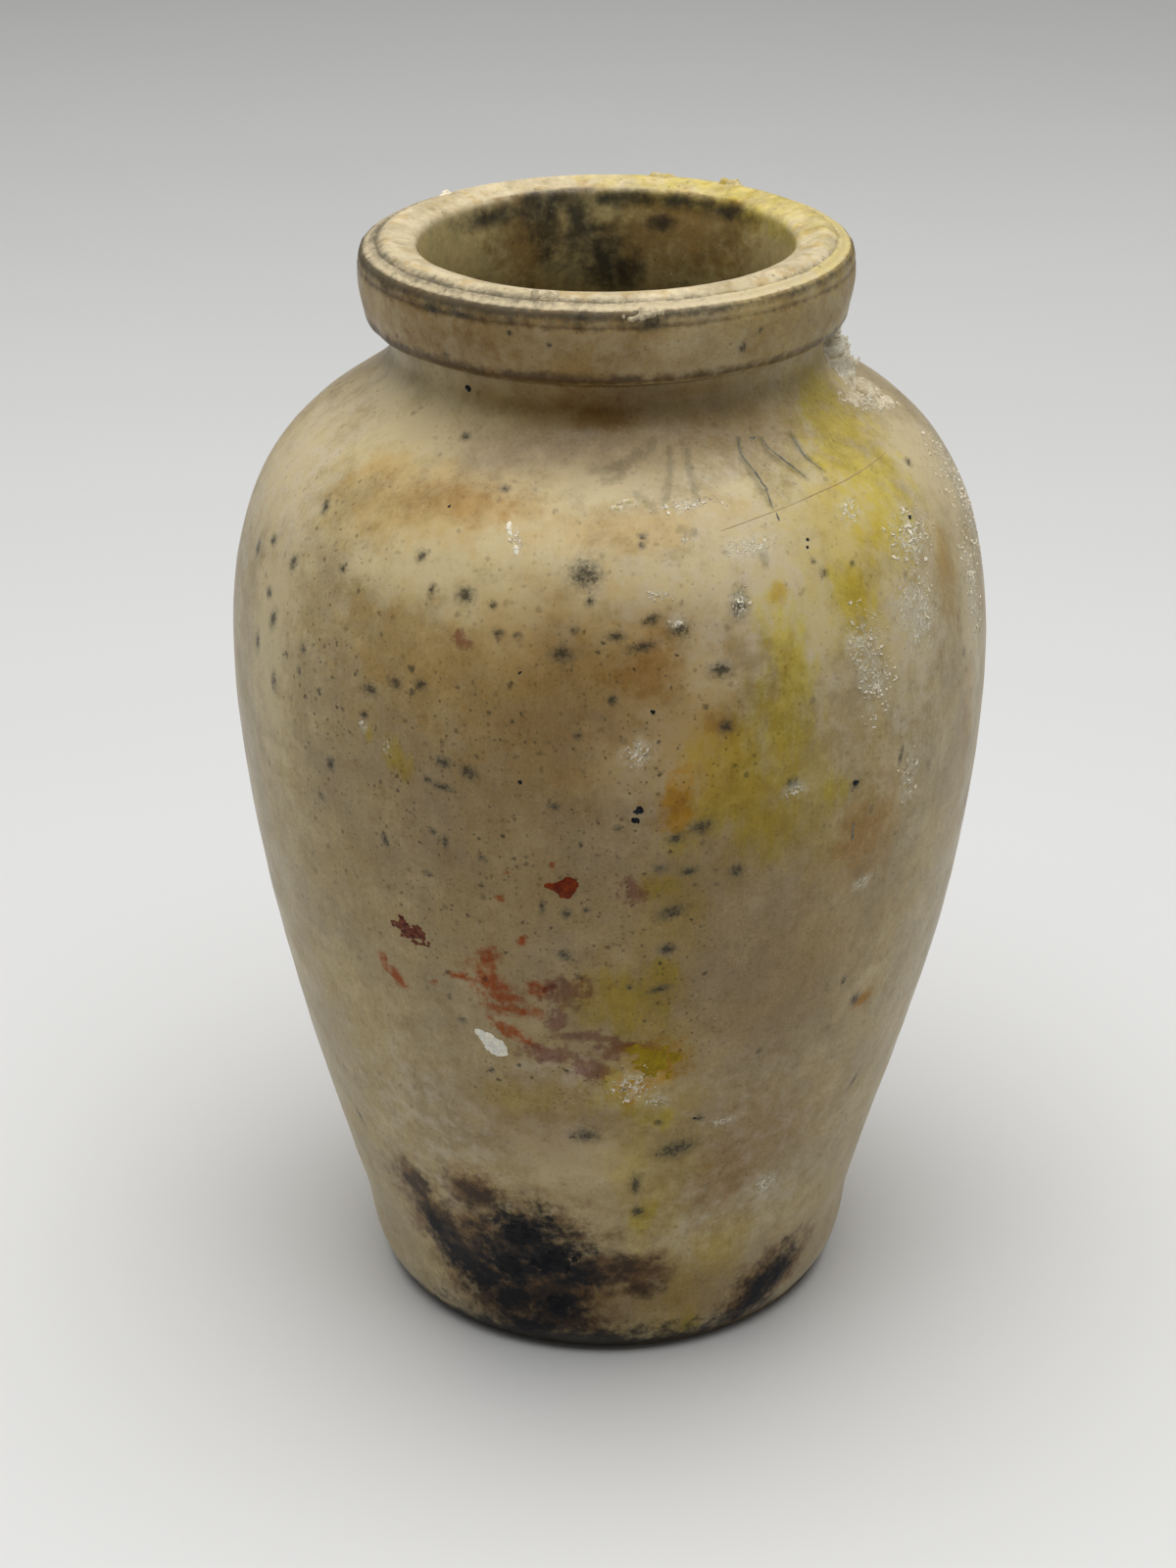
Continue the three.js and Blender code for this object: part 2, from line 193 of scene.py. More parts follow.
SPOT_MARKS = [
    (597, 587, 1.8, 1.7), (474, 607, 1.1, 0.9), (332, 516, 0.6, 1.2, 25), (515, 498, 0.7, 0.5),
    (299, 574, 0.9, 0.9), (278, 551, 0.8, 0.7), (262, 558, 0.8, 1.1), (273, 605, 0.8, 0.7),
    (277, 632, 0.8, 1.3, -15), (261, 655, 0.7, 1.2), (277, 695, 0.6, 1.3), (303, 684, 0.4, 0.7),
    (308, 662, 0.5, 0.6), (350, 580, 0.6, 0.5), (430, 567, 0.7, 0.7), (440, 602, 0.4, 0.8),
    (376, 704, 1.1, 0.7), (402, 697, 0.9, 0.8), (428, 699, 0.8, 0.7), (419, 707, 0.4, 0.4),
    (370, 730, 0.6, 0.6), (335, 781, 0.7, 1.0, -25), (452, 779, 1.0, 0.8), (478, 789, 1.1, 0.8, -25),
    (451, 804, 1.4, 0.5, -8), (435, 796, 0.5, 0.5), (573, 668, 1.2, 1.0), (629, 650, 1.0, 0.6),
    (656, 660, 1.7, 0.6, 10), (503, 617, 0.45, 0.5), (586, 643, 0.5, 0.5), (590, 751, 0.5, 0.4),
    (625, 714, 0.55, 0.55), (325, 813, 0.6, 0.5, -30), (391, 858, 0.5, 0.9, 20), (453, 861, 0.4, 0.9),
    (491, 877, 0.6, 0.4), (436, 893, 0.7, 0.4, -20), (578, 933, 0.7, 0.7), (598, 929, 0.5, 0.4),
    (553, 926, 0.4, 0.9), (575, 974, 0.8, 0.7), (473, 1039, 0.6, 0.5), (630, 846, 0.45, 0.4),
    (716, 844, 1.6, 0.8, 20), (690, 856, 1.1, 0.7, 15), (704, 889, 1.0, 0.6, 10),
    (685, 931, 1.8, 0.9, 22), (681, 968, 1.0, 0.9), (672, 1008, 1.5, 0.5, 15), (688, 1170, 2.5, 1.3, 15),
    (712, 1138, 0.9, 0.4, -20), (598, 1155, 1.6, 1.1), (585, 1156, 0.6, 0.5), (672, 1142, 0.6, 0.5),
    (370, 1135, 0.5, 1.2, 25), (503, 1089, 0.4, 0.5), (755, 616, 1.0, 1.7, -15), (693, 642, 1.2, 0.9),
    (735, 684, 1.3, 0.9), (841, 585, 0.5, 0.5), (830, 572, 0.4, 0.4), (870, 575, 0.4, 0.4),
    (926, 472, 0.7, 0.6), (982, 665, 0.5, 0.6), (872, 800, 0.8, 0.6, 40), (869, 1017, 0.9, 0.9, -30),
    (858, 998, 0.4, 0.7), (648, 1207, 0.7, 1.6), (650, 1235, 0.8, 1.0), (586, 1258, 0.8, 0.5),
    (870, 1100, 0.35, 1.4, -30), (752, 888, 1.0, 0.8), (742, 742, 0.9, 0.7), (918, 770, 0.4, 1.2, -10),
    (642, 1006, 0.4, 0.5), (508, 646, 0.7, 0.5), (528, 648, 0.6, 0.4), (602, 614, 0.5, 0.6),
    (665, 632, 1.2, 0.6, 20), (656, 547, 0.6, 0.5), (655, 556, 0.5, 0.4), (808, 800, 0.9, 0.7),
    (565, 824, 0.8, 0.5), (674, 887, 0.7, 0.5), (475, 445, 0.6, 0.6), (440, 850, 0.5, 0.4),
    (772, 1070, 0.4, 0.4),
]
BLACK_MARKS = [
    (653, 828, 0.55, 0.45), (648, 838, 0.5, 0.35), (530, 799, 0.38, 0.36), (666, 727, 0.3, 0.3),
    (824, 550, 0.2, 0.2), (824, 558, 0.25, 0.2), (928, 528, 0.3, 0.3), (708, 1138, 0.35, 0.2),
    (478, 397, 0.4, 0.4), (872, 798, 0.45, 0.3), (530, 687, 0.2, 0.2), (458, 516, 0.18, 0.18),
]
RED_DABS = [
    (578, 907, 1.35, 1.25), (567, 905, 1.3, 0.55),
]
MAROON_DABS = [
    (413, 946, 1.5, 1.1, -20), (423, 953, 1.4, 1.0, -15),
]
WHITE_DABS = [
    (509, 1066, 1.4, 1.2, -25), (500, 1058, 1.3, 0.9, -25), (491, 1052, 0.9, 0.6, -25),
]
CREAM_DABS = [
    (520, 542, 0.4, 0.9, 10), (526, 560, 0.35, 0.9, 20), (630, 517, 0.9, 0.35), (640, 510, 0.6, 0.3),
]
AMBER_DABS = [
    (668, 1078, 2.3, 2.1), (655, 1069, 1.6, 0.8),
]
FLAKE_MARKS = [
    (980, 505, 5, 8), (930, 545, 4, 3), (884, 655, 2.8, 4.4), (992, 590, 3, 6), (880, 408, 4, 2, -25),
    (928, 536, 3, 2), (946, 600, 1.4, 4), (524, 552, 0.4, 1.8, 12), (632, 514, 1.6, 0.6),
    (695, 641, 1.2, 0.8), (755, 610, 1.0, 1.4), (895, 700, 2.6, 5), (676, 606, 1.6, 0.7),
    (643, 1104, 2.4, 3.0), (670, 1122, 2, 1), (925, 790, 1.6, 3), (705, 515, 4, 1),
]

# Strokes of crayon on the shoulder and one rusty scratch: half width in millimetres, and a run of pixels. The
# longest lines of crayon are dark strokes in the middle of smudged ones.
CRAYON_RUNS = [
    [(753, 448), (756, 464), (768, 485), (780, 503), (788, 517)],
    [(776, 447), (783, 461), (798, 472), (812, 480), (822, 487)],
    [(806, 443), (814, 456), (822, 466), (838, 479)],
]
DARK_STROKES = [
    (0.15, CRAYON_RUNS[0]),
    (0.13, CRAYON_RUNS[1]),
    (0.12, CRAYON_RUNS[2]),
    (0.12, [(792, 522), (795, 531)]),
    (0.20, [(765, 446), (771, 446)]),
    (0.13, [(870, 838), (868, 858)]),
]
SMUDGED_STROKES = [
    (0.42, [(700, 460), (703, 478), (708, 496), (713, 512)]),
    (0.38, [(683, 458), (684, 478), (682, 498), (677, 513)]),
    (0.60, [(664, 453), (650, 464), (634, 474), (616, 481), (604, 478)]),
    (0.45, [(650, 503), (660, 512), (668, 520)]),
    (0.45, [(694, 538), (708, 545)]),
    (0.50, [(640, 470), (630, 486), (618, 490)]),
    (0.35, CRAYON_RUNS[0]),
    (0.35, CRAYON_RUNS[1]),
    (0.40, CRAYON_RUNS[2]),
    (0.40, [(778, 560), (782, 578)]),
]
RUST_STROKES = [
    (0.06, [(903, 462), (880, 479), (862, 490), (840, 500), (806, 515)]),
    (0.03, [(804, 516), (780, 525), (758, 533), (736, 541)]),
]
COLLAR_SPOT_MARKS = [
    (520, 339, 0.35, 0.4), (776, 337, 0.35, 0.35), (758, 355, 0.5, 0.6), (405, 343, 0.3, 0.3),
    (666, 330, 1.6, 0.7), (440, 314, 1.6, 0.6), (592, 324, 0.6, 0.4), (470, 321, 1.4, 0.4),
    (455, 362, 0.5, 0.3), (560, 352, 0.3, 0.3),
]
SMEAR_MARKS = [
    (866, 388, 2.0, 2.0), (882, 398, 2.6, 1.6, -30), (900, 411, 2.4, 1.2, -35),
    (872, 408, 2.0, 1.0, -30),
]

# Plaster in the corner under the collar: bearing in degrees, radius, height, half the width and half the
# height in millimetres
CORNER_PLACES = [(5, 25.0, 120.2, 4.4, 3.4), (-5, 25.4, 118.6, 3.4, 3.0), (13, 25.2, 119.4, 3.0, 2.6)]

# Charred streaks and brown stains in the bore: bearing in degrees, depth below the lip, half the width and
# half the height in millimetres
CHAR_PLACES = [
    (112, 2.6, 2.6, 3.4), (108, 4, 1.8, 5), (99, 4.5, 1.9, 6), (104, 1.4, 4, 1.2), (90, 9.5, 2.6, 3.6),
    (84, 10.5, 2.4, 2.4), (92, 5.6, 2.2, 0.7), (82, 1.7, 6, 0.9), (64, 1.8, 6, 0.9), (48, 2.2, 4, 0.8),
    (72, 4.6, 1.6, 0.9), (130, 2.6, 5, 1.0), (-60, 6, 6, 5), (-120, 9, 6, 6), (190, 8, 3, 5),
]
BORE_TEA_PLACES = [(62, 5, 7, 5), (45, 5, 4, 4), (78, 6, 4, 4), (118, 6, 4, 5)]

# The rim is most worn and stained towards this bearing, and has yellow paint towards these
WORN_SIDE = math.radians(205)
COLLAR_PAINT = math.radians(15)
LIP_PAINT = math.radians(42)

# The collar: how deep and how far below its edge the incised line is, how far its face and its bevel reach in
# from the edge, where the dirt over its foot is darkest, how far each dark line reaches, and the scuffs that
# break the lines up
INCISED_DEPTH = 0.07 * MM
INCISED_DROP = 1.3 * MM
INCISED_REACH = 0.4 * MM
INCISED_STAIN = 0.6 * MM
COLLAR_CORNER = 0.6 * MM
COLLAR_BEVEL = 0.3 * MM
COLLAR_FOOT_RISE = 0.8 * MM
COLLAR_FOOT_STAIN = 0.8 * MM
EDGE_STAIN = 0.75 * MM
GROOVE_STAIN = 0.9 * MM
SCUFF = 0.22
SCUFF_SIZE = 2.5 * MM

# Depths below the top of the lip: where the pale lip gives way to the bore, where the stains of the bore
# start and where the yellow paint ends. The wear of the lining fades out towards the middle of the floor.
LIP_FADE = (0.7 * MM, 2.0 * MM)
BORE_START = (0.1 * MM, 0.9 * MM)
PAINT_FADE = (1.5 * MM, 4 * MM)
POT_FLOOR_FADE = (2 * MM, 8 * MM)

# Dirt and painted contact shade round the edge of the foot, darker towards the bottom: its height, the
# bearing where it is darkest and how far that reaches
FOOT_DIRT_AND_SHADE_HEIGHT = 4.3 * MM
FOOT_DARK = math.radians(-98)
FOOT_SPREAD = math.radians(70)

# The side that the photograph doesn't show carries on in the same manner, by chance: spots with half sizes
# in millimetres, and patches with their size in millimetres and the noise level where they start
HIDDEN_SPOTS = 110
HIDDEN_SPOT_LEAST = 0.22
HIDDEN_SPOT_MORE = 0.9
HIDDEN_SPOT_REACH = (0.1, 0.92)
HIDDEN_SPOT_STRETCH = (0.7, 1.4)
HIDDEN_SPOT_TURN = 40
HIDDEN_PATCHES = {
    "warm": (24, 0.45), "pale_and_highlight": (20, 0.45), "dull": (34, 0.25), "specked": (30, -0.4), "tea": (14, 0.85),
    "cloudy": (26, 0.4),
}
HIDDEN_CONTRAST = 1.6
HIDDEN_FADE = (-0.25, 0.3)

# Raised deposits
CRUST_CELL = 0.16 * MM
DAB_CELL = 0.14 * MM
PATCH_BUMPS = 0.35
PATCH_RISE = 0.55
PATCH_SINK = 0.06 * MM
PATCH_BURY = 0.18 * MM
PATCH_MARGIN = 1.7
PATCH_EDGE = -0.15
FLAKE_COUNT = 950
FLAKE_SCATTER = 1.25
FLAKE_LEAST = 0.05 * MM
FLAKE_MOST = 0.36 * MM
FLAKE_THICKNESS = 0.1 * MM
FLAKE_CORNERS = (5, 9)
FLAKE_UNEVEN = (0.55, 1)
FLAKE_STRETCH = (0.6, 1.6)
FLAKE_WARP = (0.5, 1.3)
STROKE_THICKNESS = 0.03 * MM
STROKE_STEP = 0.2 * MM
STROKE_FRAY = 0.5
STROKE_FRAY_SIZE = 0.5 * MM

# How far stains stray from a plain oval
STRAY = 0.9 * MM
STRAY_SIZE = 6 * MM

# Colours, linear. Those named as washes darken what is under them.
CREAM = (0.425, 0.328, 0.152)
OLIVE = (0.378, 0.299, 0.166)
# Milky glaze tone; over the pale marks it also serves as painted highlight and painted sheen
MILK = (0.64, 0.530, 0.305)
CLOUD = (0.58, 0.500, 0.370)
TAN_WASH = (0.93, 0.815, 0.61)
DULL_WASH = (0.70, 0.64, 0.59)
YELLOW_WASH = (1.0, 0.965, 0.27)
OLIVE_WASH = (0.97, 0.925, 0.58)
AMBER_WASH = (0.95, 0.66, 0.09)
TEA_WASH = (0.78, 0.61, 0.37)
MAUVE_WASH = (0.56, 0.36, 0.41)
BROWN_WASH = (0.40, 0.29, 0.21)
# Painted shadow under the collar, with some brown dirt
NECK_DIRT_AND_SHADE_WASH = (0.70, 0.61, 0.44)
IRON = (0.062, 0.046, 0.024)
SLATE = (0.072, 0.069, 0.049)
SOOT = (0.024, 0.022, 0.015)
AMBER = (0.35, 0.245, 0.010)
AMBER_DARK = (0.27, 0.175, 0.007)
RED_WASH = (0.78, 0.23, 0.045)
GRIME_WASH = (0.74, 0.66, 0.52)
FRECKLE_WASH = (0.70, 0.56, 0.40)
RED_PAINT = (0.22, 0.036, 0.004)
RED_DARK = (0.12, 0.014, 0.004)
MAROON = (0.20, 0.066, 0.036)
MAROON_DARK = (0.085, 0.018, 0.012)
BROWN = (0.034, 0.019, 0.010)
TAR = (0.003, 0.004, 0.007)
TAR_BROWN = (0.014, 0.013, 0.013)
CHALK = (0.80, 0.74, 0.58)
CHALK_HAZE = (0.66, 0.595, 0.44)
PENCIL = (0.135, 0.140, 0.120)
SMUDGE_WASH = (0.50, 0.53, 0.50)
FAINT_PENCIL = (0.27, 0.255, 0.185)
RUST = (0.52, 0.37, 0.19)
LIP_CREAM = (0.67, 0.56, 0.355)
LIP_DULL = (0.50, 0.41, 0.245)
GRIME = (0.045, 0.040, 0.030)
COLLAR_WASH = (0.72, 0.60, 0.42)
COLLAR_PALE = (0.48, 0.41, 0.27)
COLLAR_BROWN = (0.055, 0.030, 0.012)
RUSTY_WASH = (0.58, 0.42, 0.24)
LIP_WASH = (0.82, 0.68, 0.45)
BARE_CLAY = (0.20, 0.145, 0.085)
DARK_CLAY = (0.13, 0.095, 0.055)
CHARCOAL = (0.017, 0.021, 0.023)
CHAR_BROWN = (0.055, 0.043, 0.027)
BORE_OLIVE = (0.44, 0.36, 0.160)
BORE_TAN = (0.54, 0.42, 0.185)
BORE_WASH = (0.52, 0.40, 0.28)
PLASTER_LIGHT = (0.90, 0.85, 0.70)
PLASTER_DARK = (0.80, 0.71, 0.52)
PLASTER_DULL = (0.64, 0.54, 0.36)
PLASTER_GREY = (0.40, 0.33, 0.21)
WHITE_PAINT = (0.80, 0.78, 0.69)
PAINT_CREAM = (0.62, 0.51, 0.26)
PAINT_YELLOW = (0.50, 0.36, 0.06)

# How strongly the glaze and the dry deposits mirror, where 0.5 is glass, and the least and most roughness of
# the glaze, with what it is under chalk and where it is worn
GLAZE_SHEEN = 0.15
DRY_SHEEN = 0.1
BODY_GLOSS = (0.28, 0.38)
RIM_GLOSS = (0.30, 0.42)
CHALK_ROUGHNESS = 0.75
WORN_ROUGHNESS = 0.65

# How noise is squeezed: runs of paint are drawn out downwards, and wiping has left fine upright streaks
EVEN = (1, 1, 1)
STREAKED = (1, 1, 0.35)
WIPED = (1, 1, 0.12)

# A mottle is a cloudy tint: its size in millimetres, its seed, the noise levels where it starts and where it
# is full, how strong it is, and the detail and roughness of its noise
Mottle = namedtuple("Mottle", "tint blend size seed low high strength detail roughness")
GLAZE_MOTTLES = [
    Mottle(OLIVE, "MIX", 11, 0, 0.36, 0.64, 1.0, 5, 0.65),
    Mottle(GRIME_WASH, "MULTIPLY", 3, 3, 0.46, 0.74, 0.65, 6, 0.7),
    Mottle(MILK, "MIX", 6, 5, 0.44, 0.74, 0.45, 7, 0.7),
    Mottle(FRECKLE_WASH, "MULTIPLY", 0.9, 6, 0.55, 0.72, 0.55, 5, 0.75),
    Mottle(MILK, "MIX", 0.6, 7, 0.58, 0.72, 0.30, 5, 0.7),
]
COLLAR_MOTTLE = Mottle(COLLAR_PALE, "MIX", 4, 84, 0.40, 0.72, 0.45, 6, 0.65)
COLLAR_BROWNING = Mottle(RUSTY_WASH, "MULTIPLY", 3, 88, 0.42, 0.74, 0.8, 6, 0.7)
LIP_MOTTLE = Mottle(LIP_WASH, "MULTIPLY", 2.2, 118, 0.50, 0.62, 0.6, 5, 0.65)
CLOUDS = Mottle(CLOUD, "MIX", 2.4, 8, 0.42, 0.66, 0.6, 7, 0.7)
IRON_SMUDGES = Mottle(IRON, "MIX", 1.5, 10, 0.60, 0.74, 0.35, 6, 0.78)
PLASTER_HAZE = Mottle(CHALK_HAZE, "MIX", 1.3, 57, 0.42, 0.62, 1.0, 5, 0.65)

# A stain is a tint over a layer of marks: how soft its edge is, the size in millimetres and the depth of the
# noise that makes it ragged, how strong it is, its seed, how its noise is squeezed, and the layer's value at
# its edge
Stain = namedtuple("Stain", "layer tint soft grain ragged strength seed squeeze least", defaults=(EVEN, 0))
# Pale glaze over the pale marks, partly painted highlight on the shoulder and painted sheen at the sides
PALE_AND_HIGHLIGHT_STAIN = Stain("pale_and_highlight", MILK, 0.8, 3, 3.0, 0.75, 7)
BLOOM_WASHES = [
    Stain("dull", DULL_WASH, 0.9, 9, 0.8, 1.0, 9),
    Stain("warm", TAN_WASH, 0.7, 3, 3.0, 0.9, 5),
]
PAINT_AND_SHADE_WASHES = [
    Stain("olive", OLIVE_WASH, 0.8, 4, 3.0, 1.0, 18, STREAKED),
    Stain("yellow", YELLOW_WASH, 0.9, 1.8, 4.5, 0.85, 19, STREAKED),
    Stain("tea", TEA_WASH, 0.8, 1.8, 4.0, 0.7, 20),
    # Painted shadow under the collar, with some brown dirt
    Stain("neck_dirt_and_shade", NECK_DIRT_AND_SHADE_WASH, 0.9, 3, 1.0, 1.0, 21),
    Stain("mauve", MAUVE_WASH, 0.6, 1.2, 4.5, 0.9, 23),
    Stain("amber", AMBER_WASH, 0.7, 1.4, 3.0, 0.95, 29),
    Stain("red", RED_WASH, 0.9, 1.1, 4.5, 1.0, 31),
    Stain("smudges", SMUDGE_WASH, 0.9, 0.8, 4.0, 0.6, 35),
]
BROWN_HALO = Stain("brown", BROWN_WASH, 0.8, 2.6, 3.5, 1.0, 47)
BROWN_STAIN = Stain("brown", BROWN, 0.6, 1.8, 4.0, 0.9, 46, least=0.35)
# Painted contact shade and dirt along the bottom of the foot, in near-black
FOOT_DIRT_AND_SHADE_STAIN = Stain("foot", TAR, 0.5, 2.0, 3.0, 0.92, 49)
TAR_STAIN = Stain("tar", TAR, 0.7, 1.4, 4.0, 0.97, 53)
COLLAR_TAN = Stain("tan", COLLAR_WASH, 0.8, 2.5, 3.0, 0.9, 85)
COLLAR_CREAM = Stain("cream", LIP_CREAM, 0.5, 1.5, 2.0, 0.85, 86)
COLLAR_YELLOW = Stain("yellow", YELLOW_WASH, 0.7, 2.0, 3.0, 0.5, 87)
COLLAR_RUST = Stain("rust", COLLAR_BROWN, 0.8, 1.2, 2.5, 0.85, 99)
COLLAR_GRIME = Stain("grime", GRIME, 0.8, 0.9, 2.6, 0.78, 101)
LIP_YELLOW = Stain("yellow", YELLOW_WASH, 0.9, 2.4, 3.0, 0.8, 119)
LIP_GRIME = Stain("grime", GRIME, 0.8, 0.9, 2.6, 0.75, 131)
BORE_TEA = Stain("tea", BORE_WASH, 0.8, 2.0, 4.0, 0.85, 123)
BORE_CHAR = Stain("char", CHARCOAL, 1.1, 2.0, 3.4, 0.9, 127)

# Specks lie in cells of a size in millimetres: the share of cells that have one, its reach as a share of the
# cell, its tint, how strong it is and its seed
Specks = namedtuple("Specks", "size share reach tint strength seed")
BODY_SPECKS = [
    Specks(0.65, 0.9, 0.26, IRON, 0.75, 11),
    Specks(1.3, 0.85, 0.20, IRON, 0.9, 13),
    Specks(2.2, 0.85, 0.16, IRON, 0.9, 15),
    Specks(3.6, 0.85, 0.12, SOOT, 0.9, 17),
]
COLLAR_SPECKS = [Specks(0.6, 0.8, 0.18, IRON, 0.6, 89), Specks(2.4, 0.6, 0.09, SOOT, 0.8, 97)]
BORE_SPECKS = Specks(1.0, 0.8, 0.2, IRON, 0.5, 121)
BORE_CHALK = Specks(2.0, 0.5, 0.1, CHALK, 0.7, 129)

# The stage: floor, one wide lamp overhead, and light all round that is brightest behind, pale at the sides
# and dim in front. The steps say where its brightness changes, as parts of a direction that is 1 long.
FLOOR_COLOUR = (0.755, 0.755, 0.745)
FLOOR_SHADE = (0.74, 0.74, 0.73)
FLOOR_GRAIN = 0.25
FLOOR_ROUGHNESS = 0.6
FLOOR_REACH = 4.0
LAMP_AT = (0, -0.1, 0.95)
LAMP_SIZE = 0.9
LAMP_POWER = 10.5
STUDIO_COLOUR = (1, 1, 1)
STUDIO_FRONT = 0.05
STUDIO_BACK = 0.35
STUDIO_SIDES = 0.25
STUDIO_BACK_STEP = (-0.1, 0.7)
STUDIO_SIDES_STEP = (0.4, 1.0)


def lattice_noise(points, size, seed):
    """Smooth noise from -1 to 1 at points in metres, with bumps of about the given size."""
    table = np.random.default_rng(seed).uniform(-1, 1, 4096)
    scaled = np.asarray(points) / size
    cell = np.floor(scaled).astype(np.int64)
    part = scaled - cell
    part = part * part * (3 - 2 * part)
    total = np.zeros(scaled.shape[:-1])
    for corner in np.ndindex(2, 2, 2):
        spot = cell + np.array(corner)
        mixed = spot[..., 0] * 73856093 ^ spot[..., 1] * 19349663 ^ spot[..., 2] * 83492791
        weight = np.prod(np.where(np.array(corner), part, 1 - part), axis=-1)
        total += weight * table[(mixed ^ seed * 2654435) & 4095]
    return total


def cloud_noise(points, size, seed, octaves=3):
    """Layers of lattice noise, each half as large and half as strong as the last."""
    total = 0
    for octave in range(octaves):
        total = total + lattice_noise(points, size / 2 ** octave, seed + octave) / 2 ** octave
    return total


def ramp(value, low, high):
    """A smooth step from 0 at low to 1 at high."""
    part = np.clip((value - low) / (high - low), 0, 1)
    return part * part * (3 - 2 * part)


def swell(value, middle, reach):
    """A smooth hump: 1 in the middle and 0 from the reach outwards."""
    return 1 - ramp(np.abs(value - middle), 0, reach)


def wrapped(angle):
    """An angle brought between minus and plus half a turn."""
    return (angle + math.pi) % (2 * math.pi) - math.pi


def radius_of(places):
    """How far places are from the pot's axis."""
    return np.hypot(places[..., 0], places[..., 1])


# Outlines, read from the solids where they cross the half plane that faces the camera
def seam_points(node):
    """(radius, height) points of a turned node's outline, in order, with the solid on the left."""
    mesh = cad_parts[node].data
    places = np.empty(len(mesh.vertices) * 3)
    mesh.vertices.foreach_get("co", places)
    places = places.reshape(-1, 3)
    on_seam = (np.abs(places[:, 0]) < SEAM_TOLERANCE) & (places[:, 1] < SEAM_TOLERANCE)
    keys = np.round(places / SEAM_TOLERANCE).astype(int)
    links = {}
    for edge in mesh.edges:
        first, second = edge.vertices
        if on_seam[first] and on_seam[second]:
            pair = [(-keys[end][1], keys[end][2]) for end in (first, second)]
            if pair[0] != pair[1]:
                links.setdefault(pair[0], set()).add(pair[1])
                links.setdefault(pair[1], set()).add(pair[0])
    ends = sorted((spot for spot in links if len(links[spot]) == 1), key=lambda spot: spot[1])
    here = ends[0] if ends else min(links)
    chain = [here]
    seen = {here}
    while True:
        ahead = sorted(spot for spot in links[here] if spot not in seen)
        if not ahead:
            break
        here = ahead[0]
        seen.add(here)
        chain.append(here)
    points = np.array(chain) * SEAM_TOLERANCE
    radius, height = points.T
    area = np.sum(radius * np.roll(height, -1) - np.roll(radius, -1) * height)
    return points if area > 0 else points[::-1]


def coat_faces(node, clay):
    """The outer and the inner line of a coat: the two halves of its outline that pair up."""
    loop = seam_points(node)
    count = len(loop)
    half = count // 2
    spread = []
    for turn in range(count):
        turned = np.roll(loop, -turn, axis=0)
        spread.append(np.sum((turned[:half] - turned[::-1][:half]) ** 2))
    loop = np.roll(loop, -int(np.argmin(spread)), axis=0)
    halves = [loop[:half], loop[half:]]
    apart = [np.mean([np.min(np.hypot(*(clay - spot).T)) for spot in side]) for side in halves]
    outer = int(np.argmax(apart))
    return halves[outer], halves[1 - outer]


def smooth_line(points, step):
    """A smooth curve through the points, with a point about every step."""
    spans = np.hypot(*np.diff(points, axis=0).T)
    slopes = np.gradient(points, np.concatenate([[0], np.cumsum(spans)]), axis=0)
    out = []
    for index, span in enumerate(spans):
        count = max(1, round(span / step))
        part = (np.arange(count) / count)[:, None]
        rest = 1 - part
        curve = rest ** 2 * (1 + 2 * part) * points[index] + part ** 2 * (1 + 2 * rest) * points[index + 1]
        curve += span * part * rest * (rest * slopes[index] - part * slopes[index + 1])
        out.append(curve)
    return np.vstack(out + [points[-1:]])


class Turned:
    """A line of (radius, height) points turned about the axis, with its arc length and normals."""

    def __init__(self, line):
        self.line = line
        steps = np.hypot(*np.diff(line, axis=0).T)
        self.arc = np.concatenate([[0], np.cumsum(steps)])
        along = np.gradient(line, self.arc, axis=0)
        along /= np.linalg.norm(along, axis=1)[:, None]
        self.normal = np.stack([along[:, 1], -along[:, 0]], axis=1)

    def places(self, bearing, arc, lift=0):
        """Points at a bearing and an arc length, lifted off the surface."""
        radius = np.interp(arc, self.arc, self.line[:, 0])
        height = np.interp(arc, self.arc, self.line[:, 1])
        radius = radius + lift * np.interp(arc, self.arc, self.normal[:, 0])
        height = height + lift * np.interp(arc, self.arc, self.normal[:, 1])
        return np.stack([radius * np.cos(bearing), radius * np.sin(bearing), height], axis=-1)

    def arc_near(self, radius, height):
        """Arc length of the line's point nearest to a radius and a height."""
        return self.arc[np.argmin(np.hypot(self.line[:, 0] - radius, self.line[:, 1] - height))]


clay_line = seam_points("thrown_body")
collar_clay_line = seam_points("rim_collar")
all_clay = np.vstack([clay_line, collar_clay_line])
body_outer, body_inner = coat_faces("outer_glaze", all_clay)
collar_outer, collar_inner = coat_faces("collar_glaze", all_clay)
lining_outer, lining_inner = coat_faces("inner_glaze", all_clay)

# The glaze runs from the lip and from the collar into the shallow groove between them, each a little past
# the other. The groove lies between the ends of the two coats, nearer to the collar's.
GROOVE_SHARE = 0.75
GROOVE_SINK = 0.06 * MM
GROOVE_LINE = np.array([
    (1 - GROOVE_SHARE) * lining_outer[0, 0] + GROOVE_SHARE * collar_outer[-1, 0],
    collar_outer[-1, 1] - GROOVE_SINK,
])
lip_drop = GROOVE_LINE + np.array([[0.22, -0.26], [0, 0], [-0.3, 0.24], [-0.6, 0.42]]) * MM
collar_drop = GROOVE_LINE + np.array([[0.1, 0.02], [-0.2, -0.26]]) * MM

# The glaze rolls under the edge of the foot and leaves only its flat bare
FOOT_ROLL = body_outer[0] + np.array([[-1.3, -1.25], [-0.85, -0.95], [-0.4, -0.55]]) * MM

